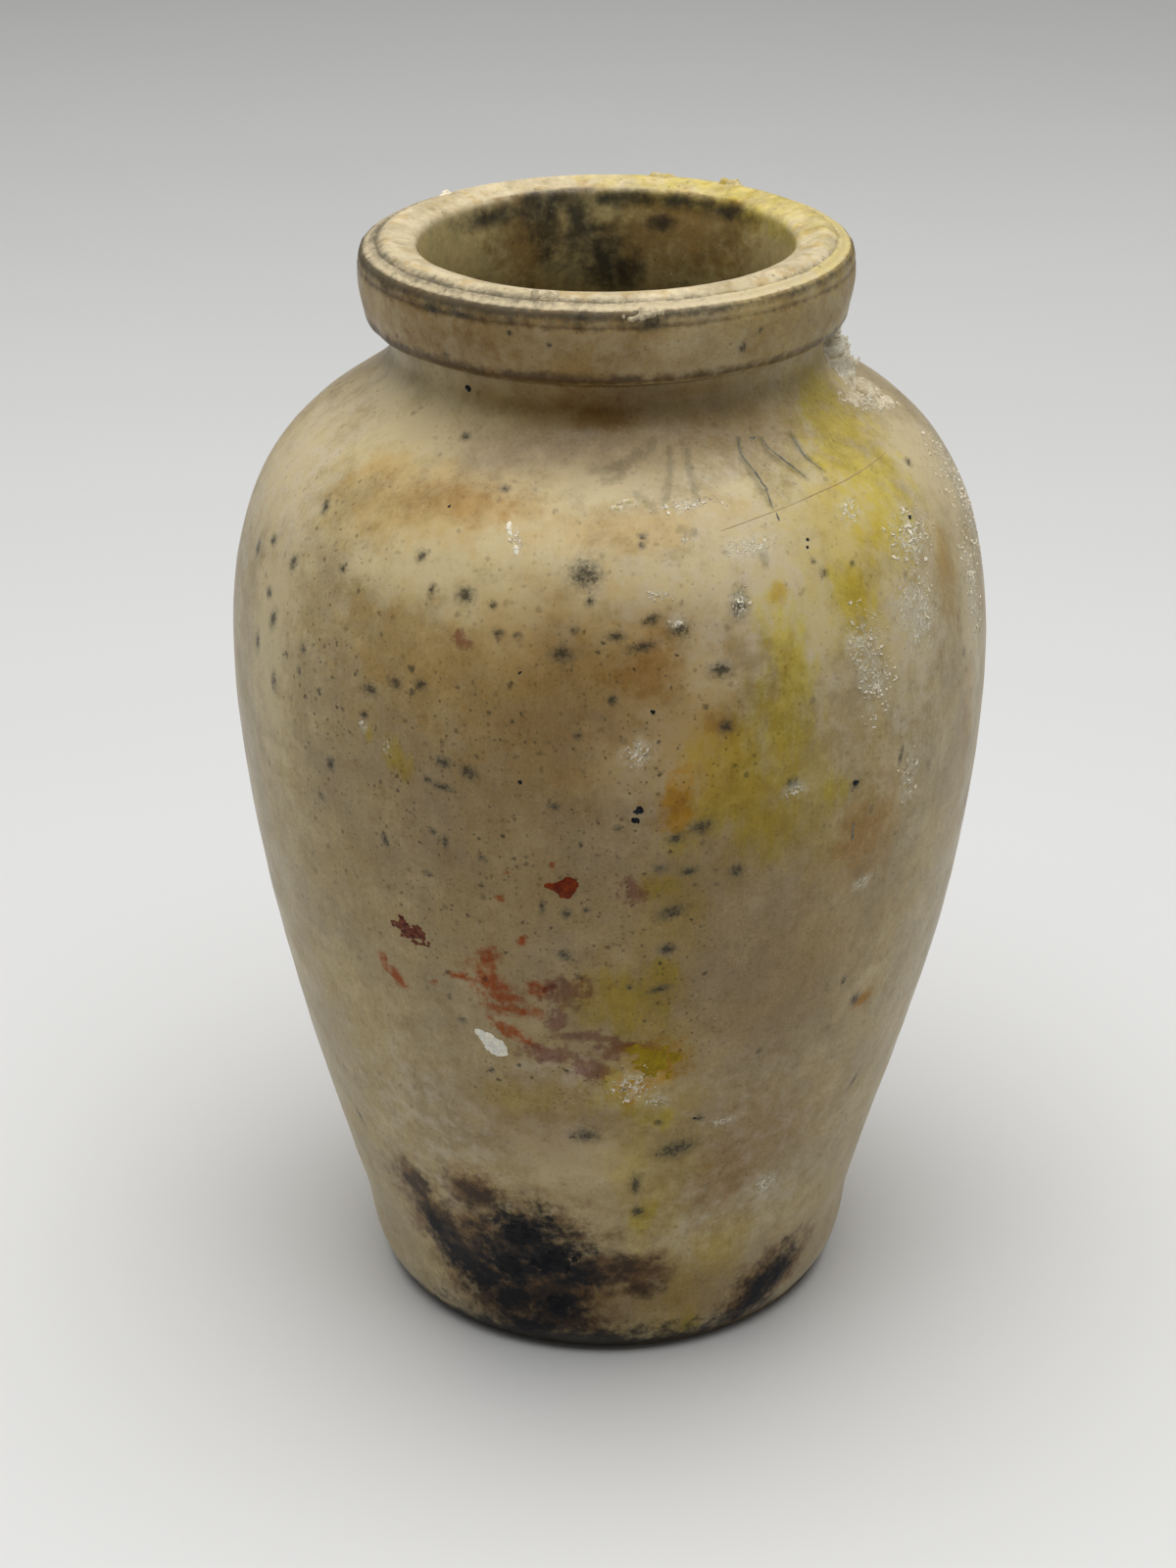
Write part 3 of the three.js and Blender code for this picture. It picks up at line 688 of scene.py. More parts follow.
body = Turned(smooth_line(np.vstack([FOOT_ROLL, body_outer]), SKIN_STEP))
collar = Turned(smooth_line(np.vstack([collar_outer, collar_drop]), RIM_STEP))
bore_end = int(np.argmax(lining_outer[:, 1] < lining_outer[0, 1] - BORE_SHOWN))
lining = Turned(np.vstack([
    smooth_line(np.vstack([lip_drop, lining_outer[:bore_end + 1]]), LIP_STEP),
    smooth_line(lining_outer[bore_end:], DEEP_STEP)[1:],
]))
LIP_TOP = lining_outer[:, 1].max()
COLLAR_FOOT = collar_outer[:, 1].min()
COLLAR_EDGE = collar_outer[np.argmax(collar_outer[:, 0] + collar_outer[:, 1])]


def thrown_lift(places):
    """How far the thrown surface stands off a true turning."""
    height = places[..., 2]
    lift = WOBBLE * lattice_noise(places, WOBBLE_SIZE, 29)
    lift = lift + RINGS * lattice_noise(places * RING_SQUEEZE, RING_SIZE, 31)
    lift = lift + RIPPLE * lattice_noise(places, RIPPLE_SIZE, 37)
    lift = lift + FULLNESS * swell(height, FULL_HEIGHT, FULL_REACH)
    lift = lift - WAIST * swell(height, WAIST_HEIGHT, WAIST_REACH)
    lean = LEAN * swell(height, LEAN_HEIGHT, LEAN_REACH)
    lean = lean - LOW_LEAN * swell(height, LOW_LEAN_HEIGHT, LOW_LEAN_REACH)
    return lift + lean * np.cos(np.arctan2(places[..., 1], places[..., 0]))


def on_body(bearing, arc, lift=0):
    """Points on the thrown and glazed outside of the pot, lifted off it."""
    return body.places(bearing, arc, thrown_lift(body.places(bearing, arc)) + lift)


# From a pixel of the photograph to a place on the pot
Spot = namedtuple("Spot", "bearing arc radius across along turn", defaults=(0,))
CAMERA_TURN = Matrix.Rotation(math.pi / 2 - CAMERA_PITCH, 3, "X") @ Matrix.Rotation(CAMERA_ROLL, 3, "Z")
RAY_REACH = np.arange(250, 480, 0.05) * MM


def located(u, v, surface):
    """Bearing, arc length and radius on a surface at a pixel of the photograph."""
    ray = CAMERA_TURN @ Vector((u - PHOTO_WIDTH / 2, PHOTO_HEIGHT / 2 - v, -FOCAL_PIXELS)).normalized()
    path = np.array(CAMERA_AT) + RAY_REACH[:, None] * np.array(ray)
    radius = radius_of(path)
    order = np.argsort(surface.line[:, 1])
    clear = radius - np.interp(path[:, 2], surface.line[order, 1], surface.line[order, 0], left=0, right=0)
    hit = int(np.argmax(clear <= 0)) if (clear <= 0).any() else int(np.argmin(clear))
    arc = np.interp(path[hit, 2], surface.line[order, 1], surface.arc[order])
    return math.atan2(path[hit, 1], path[hit, 0]), arc, radius[hit]


def spots_of(marks, surface):
    """The marks as spots on a surface."""
    spots = []
    for u, v, across, along, *turn in marks:
        spots.append(Spot(*located(u, v, surface), across * MM, along * MM, *turn))
    return spots


def oval_field(spots, bearing, arc):
    """1 in the middle of a spot, 0 on its edge and down to -1 outside it, over all the spots."""
    field = np.full(np.shape(bearing), -1.0)
    for spot in spots:
        across = wrapped(bearing - spot.bearing) * spot.radius
        along = arc - spot.arc
        turn = math.radians(spot.turn)
        side = across * math.cos(turn) + along * math.sin(turn)
        rise = along * math.cos(turn) - across * math.sin(turn)
        field = np.maximum(field, 1 - np.hypot(side / spot.across, rise / spot.along))
    return field


def stroke_field(strokes, bearing, arc):
    """1 along the middle of a stroke, 0 on its edge and down to -1 outside it, over all the strokes."""
    field = np.full(np.shape(bearing), -1.0)
    for half_width, run in strokes:
        ends = np.array([located(u, v, body) for u, v in run])
        for start, end in zip(ends[:-1], ends[1:]):
            across = wrapped(bearing - start[0]) * start[2]
            along = arc - start[1]
            reach = np.array([wrapped(end[0] - start[0]) * start[2], end[1] - start[1]])
            part = np.clip((across * reach[0] + along * reach[1]) / (reach @ reach), 0, 1)
            apart = np.hypot(across - part * reach[0], along - part * reach[1])
            field = np.maximum(field, 1 - apart / (half_width * MM))
    return field


def hidden_spots(seed):
    """Chance iron spots on the side of the body that the photograph doesn't show."""
    random = np.random.default_rng(seed)
    spots = []
    for bearing in random.uniform(0, math.pi, HIDDEN_SPOTS):
        arc = random.uniform(*HIDDEN_SPOT_REACH) * body.arc[-1]
        size = (HIDDEN_SPOT_LEAST + HIDDEN_SPOT_MORE * random.uniform() ** 4) * MM
        stretch = random.uniform(*HIDDEN_SPOT_STRETCH)
        radius = np.interp(arc, body.arc, body.line[:, 0])
        turn = random.uniform(-HIDDEN_SPOT_TURN, HIDDEN_SPOT_TURN)
        spots.append(Spot(bearing, arc, radius, size * stretch, size / stretch, turn))
    return spots


def hidden_patches(field, places, size, least, seed):
    """A field with chance patches added on the side that the photograph doesn't show."""
    hidden = ramp(places[..., 1] / radius_of(places), *HIDDEN_FADE)
    patches = HIDDEN_CONTRAST * (cloud_noise(places, size, seed) - least)
    return np.maximum(field, hidden * (patches + 1) - 1)


# Meshes
def crowded_bearings(columns):
    """Bearings round the pot, closer together at the front."""
    even = np.arange(columns) / columns * 2 * math.pi
    return even - FRONT_CROWDING * np.sin(even) + FRONT


def new_object(name, points, faces, material, smooth=True):
    """A mesh piece that rides with the pot."""
    mesh = bpy.data.meshes.new(name)
    mesh.from_pydata(np.asarray(points).tolist(), [], faces)
    mesh.validate()
    mesh.polygons.foreach_set("use_smooth", [smooth] * len(mesh.polygons))
    mesh.materials.append(material)
    piece = bpy.data.objects.new(name, mesh)
    bpy.context.collection.objects.link(piece)
    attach(piece, "root")
    return piece


def add_layer(piece, name, values):
    """A named value at every point of a piece, for its material."""
    layer = piece.data.attributes.new(name, "FLOAT", "POINT")
    layer.data.foreach_set("value", np.ascontiguousarray(values, dtype=np.float32))


def turned_mesh(rows, closed):
    """Points and faces of a shell: rows of points round the axis, joined one to the next."""
    count, columns = rows.shape[:2]
    points = []
    index = np.empty((count, columns), dtype=int)
    for row in range(count):
        at_axis = radius_of(rows[row]).max() < SEAM_TOLERANCE
        index[row] = len(points) + (0 if at_axis else np.arange(columns))
        points.extend(rows[row, :1] if at_axis else rows[row])
    faces = []
    ahead = np.roll(np.arange(columns), -1)
    for row in range(count if closed else count - 1):
        low = index[row]
        high = index[(row + 1) % count]
        for corners in np.stack([low, low[ahead], high[ahead], high], axis=1).tolist():
            faces.append(list(dict.fromkeys(corners)))
    return np.array(points), faces


def rows_at(line, bearings):
    """Rows of points of a plain turned line."""
    radius = line[:, :1]
    heights = np.repeat(line[:, 1:], len(bearings), axis=1)
    return np.stack([radius * np.cos(bearings), radius * np.sin(bearings), heights], axis=-1)


def add_row_layers(piece, lines, layers):
    """Layers given at the outer rows of a turned shell; its hidden rows get -1."""
    rows = np.vstack(lines)
    for name, values in layers.items():
        hidden = np.full((len(lines[1]), values.shape[1]), -1.0)
        whole = np.concatenate([np.clip(values, -1, 1), hidden])
        kept = [row[:1] if spot[0] < SEAM_TOLERANCE else row for row, spot in zip(whole, rows)]
        add_layer(piece, name, np.concatenate(kept))


def patch_mesh(place, spots, thickness, ragged, grain, seed, cell):
    """A closed patch on a surface: thick in the middle of its spots and ragged at its edges."""
    radius = np.mean([spot.radius for spot in spots])
    reach = [PATCH_MARGIN * max(spot.across, spot.along) for spot in spots]
    middle = spots[0].bearing
    sides = [wrapped(spot.bearing - middle) for spot in spots]
    left = min(side - far / radius for side, far in zip(sides, reach))
    right = max(side + far / radius for side, far in zip(sides, reach))
    low = min(spot.arc - far for spot, far in zip(spots, reach))
    high = max(spot.arc + far for spot, far in zip(spots, reach))
    columns = np.linspace(left, right, max(4, int((right - left) * radius / cell))) + middle
    rows = np.linspace(low, high, max(4, int((high - low) / cell)))
    bearing, arc = np.meshgrid(columns, rows)
    flat = place(bearing, arc)
    field = oval_field(spots, bearing, arc) + ragged * cloud_noise(flat, grain, seed, 4)
    bumps = 1 + PATCH_BUMPS * cloud_noise(flat, grain / 2, seed + 7, 3)
    lift = thickness * ramp(field, 0, PATCH_RISE) * bumps - PATCH_SINK * (1 - ramp(field, -0.2, 0.04))
    solid = field > PATCH_EDGE
    kept = solid[:-1, :-1] | solid[1:, :-1] | solid[:-1, 1:] | solid[1:, 1:]
    used = np.zeros(field.shape, dtype=bool)
    for down, over in np.ndindex(2, 2):
        used[down:down + kept.shape[0], over:over + kept.shape[1]] |= kept
    index = np.full(field.shape, -1)
    index[used] = np.arange(used.sum())
    count = int(used.sum())
    points = np.concatenate([place(bearing, arc, lift)[used], place(bearing, arc, -PATCH_BURY)[used]])
    faces = []
    walls = {}
    for row, column in np.argwhere(kept):
        corners = ((row, column), (row, column + 1), (row + 1, column + 1), (row + 1, column))
        ring = [int(index[corner]) for corner in corners]
        faces.append(ring)
        faces.append([corner + count for corner in reversed(ring)])
        for start, end in zip(ring, ring[1:] + ring[:1]):
            if (end, start) in walls:
                del walls[(end, start)]
            else:
                walls[(start, end)] = True
    faces.extend([end, start, start + count, end + count] for start, end in walls)
    return points, faces


def flake_mesh(spots, seed):
    """Thin crumbs of dry plaster scattered over the body, each a small closed slab."""
    random = np.random.default_rng(seed)
    areas = np.array([spot.across * spot.along for spot in spots])
    points = []
    faces = []
    for number in random.choice(len(spots), FLAKE_COUNT, p=areas / areas.sum()):
        chosen = spots[number]
        angle = random.uniform(0, 2 * math.pi)
        far = FLAKE_SCATTER * random.uniform(0, 1)
        turn = math.radians(chosen.turn)
        side = far * chosen.across * math.cos(angle)
        rise = far * chosen.along * math.sin(angle)
        across = side * math.cos(turn) - rise * math.sin(turn)
        along = side * math.sin(turn) + rise * math.cos(turn)
        size = FLAKE_LEAST + (FLAKE_MOST - FLAKE_LEAST) * random.uniform(0, 1) ** 3
        corners = random.integers(*FLAKE_CORNERS)
        around = np.sort(random.uniform(0, 2 * math.pi, corners))
        reach = size * random.uniform(*FLAKE_UNEVEN, corners)
        stretch = random.uniform(*FLAKE_STRETCH)
        bearing = chosen.bearing + (across + reach * np.cos(around) * stretch) / chosen.radius
        arc = chosen.arc + along + reach * np.sin(around) / stretch
        thick = FLAKE_THICKNESS * random.uniform(*FLAKE_WARP, corners)
        first = len(points)
        points.extend(on_body(bearing, arc, -PATCH_BURY))
        points.extend(on_body(bearing, arc, thick))
        ring = list(range(first, first + corners))
        faces.append(ring[::-1])
        faces.append([corner + corners for corner in ring])
        for start, end in zip(ring, ring[1:] + ring[:1]):
            faces.append([start, end, end + corners, start + corners])
    return points, faces


def ribbon_mesh(strokes, seed):
    """Thin closed ribbons along strokes on the body, frayed at their edges and narrow at their ends."""
    points = []
    faces = []
    for half_width, run in strokes:
        ends = np.array([located(u, v, body) for u, v in run])
        path = smooth_line(np.stack([ends[:, 0] * ends[:, 2], ends[:, 1]], axis=1), STROKE_STEP)
        along = np.gradient(path, axis=0)
        along /= np.linalg.norm(along, axis=1)[:, None]
        side = np.stack([-along[:, 1], along[:, 0]], axis=1)
        part = np.linspace(0, 1, len(path))
        taper = half_width * MM * (0.35 + 0.65 * np.minimum(1, 5 * np.minimum(part, 1 - part)))
        flat = np.stack([path[:, 0], path[:, 1], np.full(len(path), half_width)], axis=1)
        frays = [1 + STROKE_FRAY * cloud_noise(flat, STROKE_FRAY_SIZE, seed + more) for more in (0, 3)]
        left = path + side * (taper * frays[0])[:, None]
        right = path - side * (taper * frays[1])[:, None]
        reach = np.interp(part, np.linspace(0, 1, len(ends)), ends[:, 2])
        rows = []
        top = STROKE_THICKNESS
        for line, lift in ((left, top), (right, top), (right, -PATCH_BURY), (left, -PATCH_BURY)):
            rows.append(on_body(line[:, 0] / reach, line[:, 1], lift))
        first = len(points)
        count = len(path)
        points.extend(np.concatenate(rows))
        for row in range(4):
            here = first + row * count
            there = first + (row + 1) % 4 * count
            faces.extend([here + i, here + i + 1, there + i + 1, there + i] for i in range(count - 1))
        start = [first + row * count for row in range(4)]
        faces.append(start)
        faces.append([corner + count - 1 for corner in reversed(start)])
    return points, faces


# Node graphs
class Graph:
    """The nodes of a material or of the light all round, made by short calls that return sockets."""

    def __init__(self, owner):
        owner.use_nodes = True
        self.owner = owner
        self.tree = owner.node_tree
        self.shader = self.tree.nodes.get("Principled BSDF")
        self.coordinates = self.node("ShaderNodeTexCoord").outputs

    def node(self, kind, settings=None, **inputs):
        made = self.tree.nodes.new(kind)
        for name, value in (settings or {}).items():
            setattr(made, name, value)
        for name, value in inputs.items():
            self.feed(made.inputs[name.replace("_", " ")], value)
        return made

    def feed(self, socket, value):
        if isinstance(value, bpy.types.NodeSocket):
            self.tree.links.new(value, socket)
        elif socket.type == "RGBA":
            socket.default_value = (*value, 1)
        else:
            socket.default_value = value

    def layer(self, name):
        return self.node("ShaderNodeAttribute", {"attribute_name": name}).outputs["Fac"]

    def shifted(self, seed, squeeze=EVEN):
        made = self.node("ShaderNodeVectorMath", {"operation": "MULTIPLY_ADD"})
        self.feed(made.inputs[0], self.coordinates["Object"])
        self.feed(made.inputs[1], squeeze)
        self.feed(made.inputs[2], (0.13 * seed, 0.29 * seed, 0.17 * seed))
        return made.outputs[0]

    def noise(self, size, seed, detail=3, roughness=0.55, squeeze=EVEN):
        made = self.node("ShaderNodeTexNoise", Vector=self.shifted(seed, squeeze), Scale=1 / size,
                         Detail=detail, Roughness=roughness)
        return made.outputs["Fac"]

    def cells(self, size, seed):
        return self.node("ShaderNodeTexVoronoi", Vector=self.shifted(seed), Scale=1 / size)

    def math(self, operation, first, second=0.0):
        made = self.node("ShaderNodeMath", {"operation": operation})
        self.feed(made.inputs[0], first)
        self.feed(made.inputs[1], second)
        return made.outputs[0]

    def centred(self, value, amount):
        """Noise about 0.5 turned into noise about 0."""
        return self.math("MULTIPLY", self.math("SUBTRACT", value, 0.5), amount)

    def step(self, value, low, high, start=0.0, end=1.0):
        made = self.node("ShaderNodeMapRange", {"interpolation_type": "SMOOTHSTEP"}, Value=value,
                         From_Min=low, From_Max=high, To_Min=start, To_Max=end)
        return made.outputs["Result"]

    def mix(self, part, first, second, blend="MIX"):
        made = self.node("ShaderNodeMix", {"data_type": "RGBA", "blend_type": blend})
        self.feed(made.inputs["Factor"], part)
        self.feed(made.inputs[6], first)
        self.feed(made.inputs[7], second)
        return made.outputs[2]

    def blend(self, part, first, second):
        made = self.node("ShaderNodeMix", {"data_type": "FLOAT"})
        self.feed(made.inputs["Factor"], part)
        self.feed(made.inputs[2], first)
        self.feed(made.inputs[3], second)
        return made.outputs[0]

    def shaded(self, colour, value):
        """A colour made lighter or darker by a value about 1."""
        grey = self.node("ShaderNodeCombineColor", Red=value, Green=value, Blue=value).outputs[0]
        return self.mix(1.0, colour, grey, "MULTIPLY")

    def bump(self, height, depth, before=None):
        made = self.node("ShaderNodeBump", Height=height, Distance=depth, Strength=1.0)
        if before is not None:
            self.feed(made.inputs["Normal"], before)
        return made.outputs["Normal"]

    def finish(self, colour, roughness, normal, sheen):
        self.feed(self.shader.inputs["Base Color"], colour)
        self.feed(self.shader.inputs["Roughness"], roughness)
        self.feed(self.shader.inputs["Normal"], normal)
        self.shader.inputs["Specular IOR Level"].default_value = sheen
        return self.owner


def mottled(graph, colour, look, seed=0, within=1.0):
    """Colour with a cloudy tint over it, as strong as a value says."""
    noise = graph.noise(look.size * MM, seed + look.seed, look.detail, look.roughness)
    part = graph.step(noise, look.low, look.high, 0.0, look.strength)
    return graph.mix(graph.math("MULTIPLY", part, within), colour, look.tint, look.blend)


def stain(graph, colour, look, blend="MIX"):
    """Colour with a tint over it where a layer, roughened by noise, is high enough; and where that is."""
    field = graph.layer(look.layer)
    rough = graph.centred(graph.noise(look.grain * MM, look.seed, 5, 0.65, look.squeeze), look.ragged)
    edge = graph.math("ADD", field, rough)
    part = graph.step(edge, look.least - look.soft, look.least + look.soft, 0.0, look.strength)
    part = graph.math("MULTIPLY", part, graph.step(field, -0.95, -0.45))
    return graph.mix(part, colour, look.tint, blend), part


def wash(graph, colour, *looks):
    """Colour darkened by see-through stains, one after the other."""
    for look in looks:
        colour, _ = stain(graph, colour, look, "MULTIPLY")
    return colour


def grains(graph, colour, layer, tint, size, strength, seed):
    """Colour with fine grains over it, closer together where a layer is higher; and where they are."""
    field = graph.layer(layer)
    least = graph.step(field, -0.4, 0.8, 0.72, 0.50)
    above = graph.math("SUBTRACT", graph.noise(size, seed, 4, 0.7), least)
    part = graph.step(above, 0.0, 0.05, 0.0, strength)
    part = graph.math("MULTIPLY", part, graph.step(field, -0.4, -0.1))
    return graph.mix(part, colour, tint), part


def specks(graph, colour, look, crowding=1.0):
    """Colour with small ragged specks over it, more of them in some places than in others."""
    cells = graph.cells(look.size * MM, look.seed)
    chances = graph.node("ShaderNodeSeparateColor", Color=cells.outputs["Color"]).outputs
    crowd = graph.centred(graph.noise(6 * MM, look.seed + 2, 3), 1.2)
    radius = graph.step(graph.math("ADD", chances[0], crowd), 1 - look.share, 1.1, 0.0, look.reach)
    ragged = graph.centred(graph.noise(look.size / 5 * MM, look.seed + 1, 2), 3 * look.reach)
    apart = graph.math("ADD", cells.outputs["Distance"], ragged)
    part = graph.step(graph.math("SUBTRACT", radius, apart), -look.reach / 2, look.reach / 2)
    part = graph.math("MULTIPLY", part, graph.step(radius, 0.0, look.reach / 4))
    part = graph.math("MULTIPLY", part, graph.step(chances[1], 0.0, 0.9, 0.35, 1.0))
    strength = graph.math("MULTIPLY", crowding, look.strength)
    return graph.mix(graph.math("MULTIPLY", part, strength), colour, look.tint)


def blotches(graph, colour, layer, seed):
    """Colour with iron spots where a layer is above zero: a soft grey halo and a broken dark core."""
    colour, _ = stain(graph, colour, Stain(layer, SLATE, 0.8, 0.5, 2.5, 0.5, seed))
    broken = graph.centred(graph.noise(0.5 * MM, seed + 1, 4, 0.65), 3.0)
    core = graph.step(graph.math("ADD", graph.layer(layer), broken), 0.0, 0.9, 0.0, 0.75)
    return graph.mix(core, colour, SOOT)


def glaze_base(graph, seed, wiped):
    """The mottled cream of the glaze, before its specks and stains."""
    colour = CREAM
    for look in GLAZE_MOTTLES:
        colour = mottled(graph, colour, look, seed)
    fine = graph.step(graph.noise(0.35 * MM, seed + 1, 4, 0.65), 0.25, 0.75, 0.88, 1.10)
    streaks = graph.step(graph.noise(0.5 * MM, seed + 4, 3, 0.5, WIPED), 0.25, 0.75, 1 - wiped, 1 + wiped)
    return graph.shaded(graph.shaded(colour, fine), streaks)


def body_glaze():
    """Speckled cream glaze, stained by paint, plaster and tar, with painted highlight on the shoulder and
    painted shade under the collar and at the foot.
    """
    graph = Graph(bpy.data.materials.new("body_glaze"))
    colour = glaze_base(graph, 3, 0.05)
    # Pale glaze, partly painted highlight on the shoulder and painted sheen at the sides
    colour, _ = stain(graph, colour, PALE_AND_HIGHLIGHT_STAIN)
    cloudy = graph.step(graph.layer("cloudy"), -0.6, 0.6, 0.15, 1.0)
    colour = mottled(graph, colour, CLOUDS, within=cloudy)
    colour = wash(graph, colour, *BLOOM_WASHES)
    specked = graph.step(graph.layer("specked"), -0.3, 0.5, 0.35, 1.0)
    colour = mottled(graph, colour, IRON_SMUDGES, within=specked)
    for look in BODY_SPECKS:
        colour = specks(graph, colour, look, specked)
    colour = wash(graph, colour, *PAINT_AND_SHADE_WASHES)
    colour = blotches(graph, colour, "spots", 37)
    colour = wash(graph, colour, BROWN_HALO)
    colour, _ = stain(graph, colour, BROWN_STAIN)
    # Painted contact shade and dirt along the bottom of the foot
    colour, _ = stain(graph, colour, FOOT_DIRT_AND_SHADE_STAIN)
    colour, tar = stain(graph, colour, TAR_STAIN)
    dusty = graph.step(graph.layer("chalk"), -0.3, 0.9, 0.0, 0.6)
    colour = mottled(graph, colour, PLASTER_HAZE, within=dusty)
    colour, chalk = grains(graph, colour, "chalk", CHALK, 0.45 * MM, 0.8, 59)
    matte = graph.math("MAXIMUM", chalk, graph.math("MULTIPLY", tar, 0.35))
    gloss = graph.step(graph.noise(5 * MM, 61), 0.3, 0.7, *BODY_GLOSS)
    roughness = graph.blend(matte, gloss, CHALK_ROUGHNESS)
    normal = graph.bump(graph.noise(0.8 * MM, 67, 4), 0.025 * MM)
    normal = graph.bump(chalk, 0.08 * MM, normal)
    normal = graph.bump(graph.math("MULTIPLY", tar, graph.noise(0.8 * MM, 73, 5)), 0.12 * MM, normal)
    return graph.finish(colour, roughness, normal, GLAZE_SHEEN)


def worn_finish(graph, colour, wear, gloss_seed, bump_seed):
    """The satin finish of the rim, dull where it is worn."""
    gloss = graph.step(graph.noise(4 * MM, gloss_seed), 0.3, 0.7, *RIM_GLOSS)
    normal = graph.bump(graph.noise(0.6 * MM, bump_seed, 4), 0.04 * MM)
    return graph.finish(colour, graph.blend(wear, gloss, WORN_ROUGHNESS), normal, GLAZE_SHEEN)


def rim_glaze():
    """Tan collar glaze, stained brown and worn to dark clay along its edges."""
    graph = Graph(bpy.data.materials.new("rim_glaze"))
    colour = glaze_base(graph, 83, 0.0)
    colour = wash(graph, colour, COLLAR_TAN)
    colour = mottled(graph, colour, COLLAR_MOTTLE)
    colour = mottled(graph, colour, COLLAR_BROWNING, within=graph.layer("stained"))
    colour, _ = stain(graph, colour, COLLAR_CREAM)
    colour = wash(graph, colour, COLLAR_YELLOW)
    for look in COLLAR_SPECKS:
        colour = specks(graph, colour, look)
    colour, _ = stain(graph, colour, COLLAR_RUST)
    colour = blotches(graph, colour, "spots", 100)
    colour, wear = stain(graph, colour, COLLAR_GRIME)
    return worn_finish(graph, colour, wear, 103, 107)


def lining_glaze():
    """Pale worn lip and a stained olive bore."""
    graph = Graph(bpy.data.materials.new("lining_glaze"))
    bore = graph.mix(graph.step(graph.noise(6 * MM, 113), 0.35, 0.65), BORE_OLIVE, BORE_TAN)
    lip = graph.mix(graph.step(graph.noise(4 * MM, 117), 0.35, 0.7), LIP_CREAM, LIP_DULL)
    colour = graph.mix(graph.layer("lip"), bore, mottled(graph, lip, LIP_MOTTLE))
    colour = graph.shaded(colour, graph.step(graph.noise(0.9 * MM, 115, 4, 0.6), 0.25, 0.75, 0.84, 1.10))
    colour = wash(graph, colour, LIP_YELLOW)
    colour = specks(graph, colour, BORE_SPECKS)
    colour = wash(graph, colour, BORE_TEA)
    char = graph.mix(graph.step(graph.noise(2.5 * MM, 125, 4), 0.4, 0.65), CHARCOAL, CHAR_BROWN)
    colour, _ = stain(graph, colour, BORE_CHAR._replace(tint=char))
    colour = specks(graph, colour, BORE_CHALK)
    colour, wear = stain(graph, colour, LIP_GRIME)
    return worn_finish(graph, colour, wear, 137, 139)


def dry_material(name, light, dark, grain, rough, seed):
    """A dry deposit in two tones, with a grainy surface."""
    graph = Graph(bpy.data.materials.new(name))
    colour = graph.mix(graph.step(graph.noise(grain, seed, 4), 0.36, 0.64), light, dark)
    colour = graph.shaded(colour, graph.step(graph.noise(grain / 4, seed + 1, 3), 0.25, 0.75, 0.80, 1.12))
    normal = graph.bump(graph.noise(grain / 4, seed + 2, 5), 0.1 * grain)
    roughness = graph.step(graph.noise(grain, seed + 3), 0.3, 0.7, rough - 0.1, rough + 0.1)
    return graph.finish(colour, roughness, normal, DRY_SHEEN)


# Pieces
def build_body_skin():
    bearings = crowded_bearings(SKIN_COLUMNS)
    bearing, arc = np.meshgrid(bearings, body.arc)
    outer = on_body(bearing, arc)
    points, faces = turned_mesh(np.concatenate([outer, rows_at(body_inner, bearings)]), closed=True)
    skin = new_object("body_skin", points, faces, body_glaze())
    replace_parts(skin, "outer_glaze")
    stray_bearing = bearing + STRAY * lattice_noise(outer, STRAY_SIZE, 43) / radius_of(outer)
    stray_arc = arc + STRAY * lattice_noise(outer, STRAY_SIZE, 47)
    layers = {}
    for name, marks in STAIN_AND_LIGHT_MARKS.items():
        layers[name] = oval_field(spots_of(marks, body), stray_bearing, stray_arc)
    for seed, (name, (size, least)) in enumerate(HIDDEN_PATCHES.items()):
        layers[name] = hidden_patches(layers[name], outer, size * MM, least, 700 + 10 * seed)
    layers["spots"] = oval_field(spots_of(SPOT_MARKS, body) + hidden_spots(83), bearing, arc)
    layers["smudges"] = stroke_field(SMUDGED_STROKES, bearing, arc)
    foot_dark = swell(wrapped(bearing - FOOT_DARK), 0, FOOT_SPREAD)
    # Painted contact shade and dirt, darker towards the bottom and strongest at the front
    layers["foot"] = 0.2 + 0.9 * foot_dark - outer[..., 2] / FOOT_DIRT_AND_SHADE_HEIGHT
    add_row_layers(skin, [body.line, body_inner], layers)


def rim_wear(bearing, plain):
    """How near the worn side of the rim is, chance scuffs, and the dirt along the groove."""
    worn = ramp(np.cos(bearing - WORN_SIDE), -0.2, 1)
    scuffs = SCUFF * cloud_noise(plain, SCUFF_SIZE, 57)
    apart = np.hypot(radius_of(plain) - GROOVE_LINE[0], plain[..., 2] - GROOVE_LINE[1])
    return worn, scuffs, 0.8 * worn - 0.15 + scuffs - apart / GROOVE_STAIN


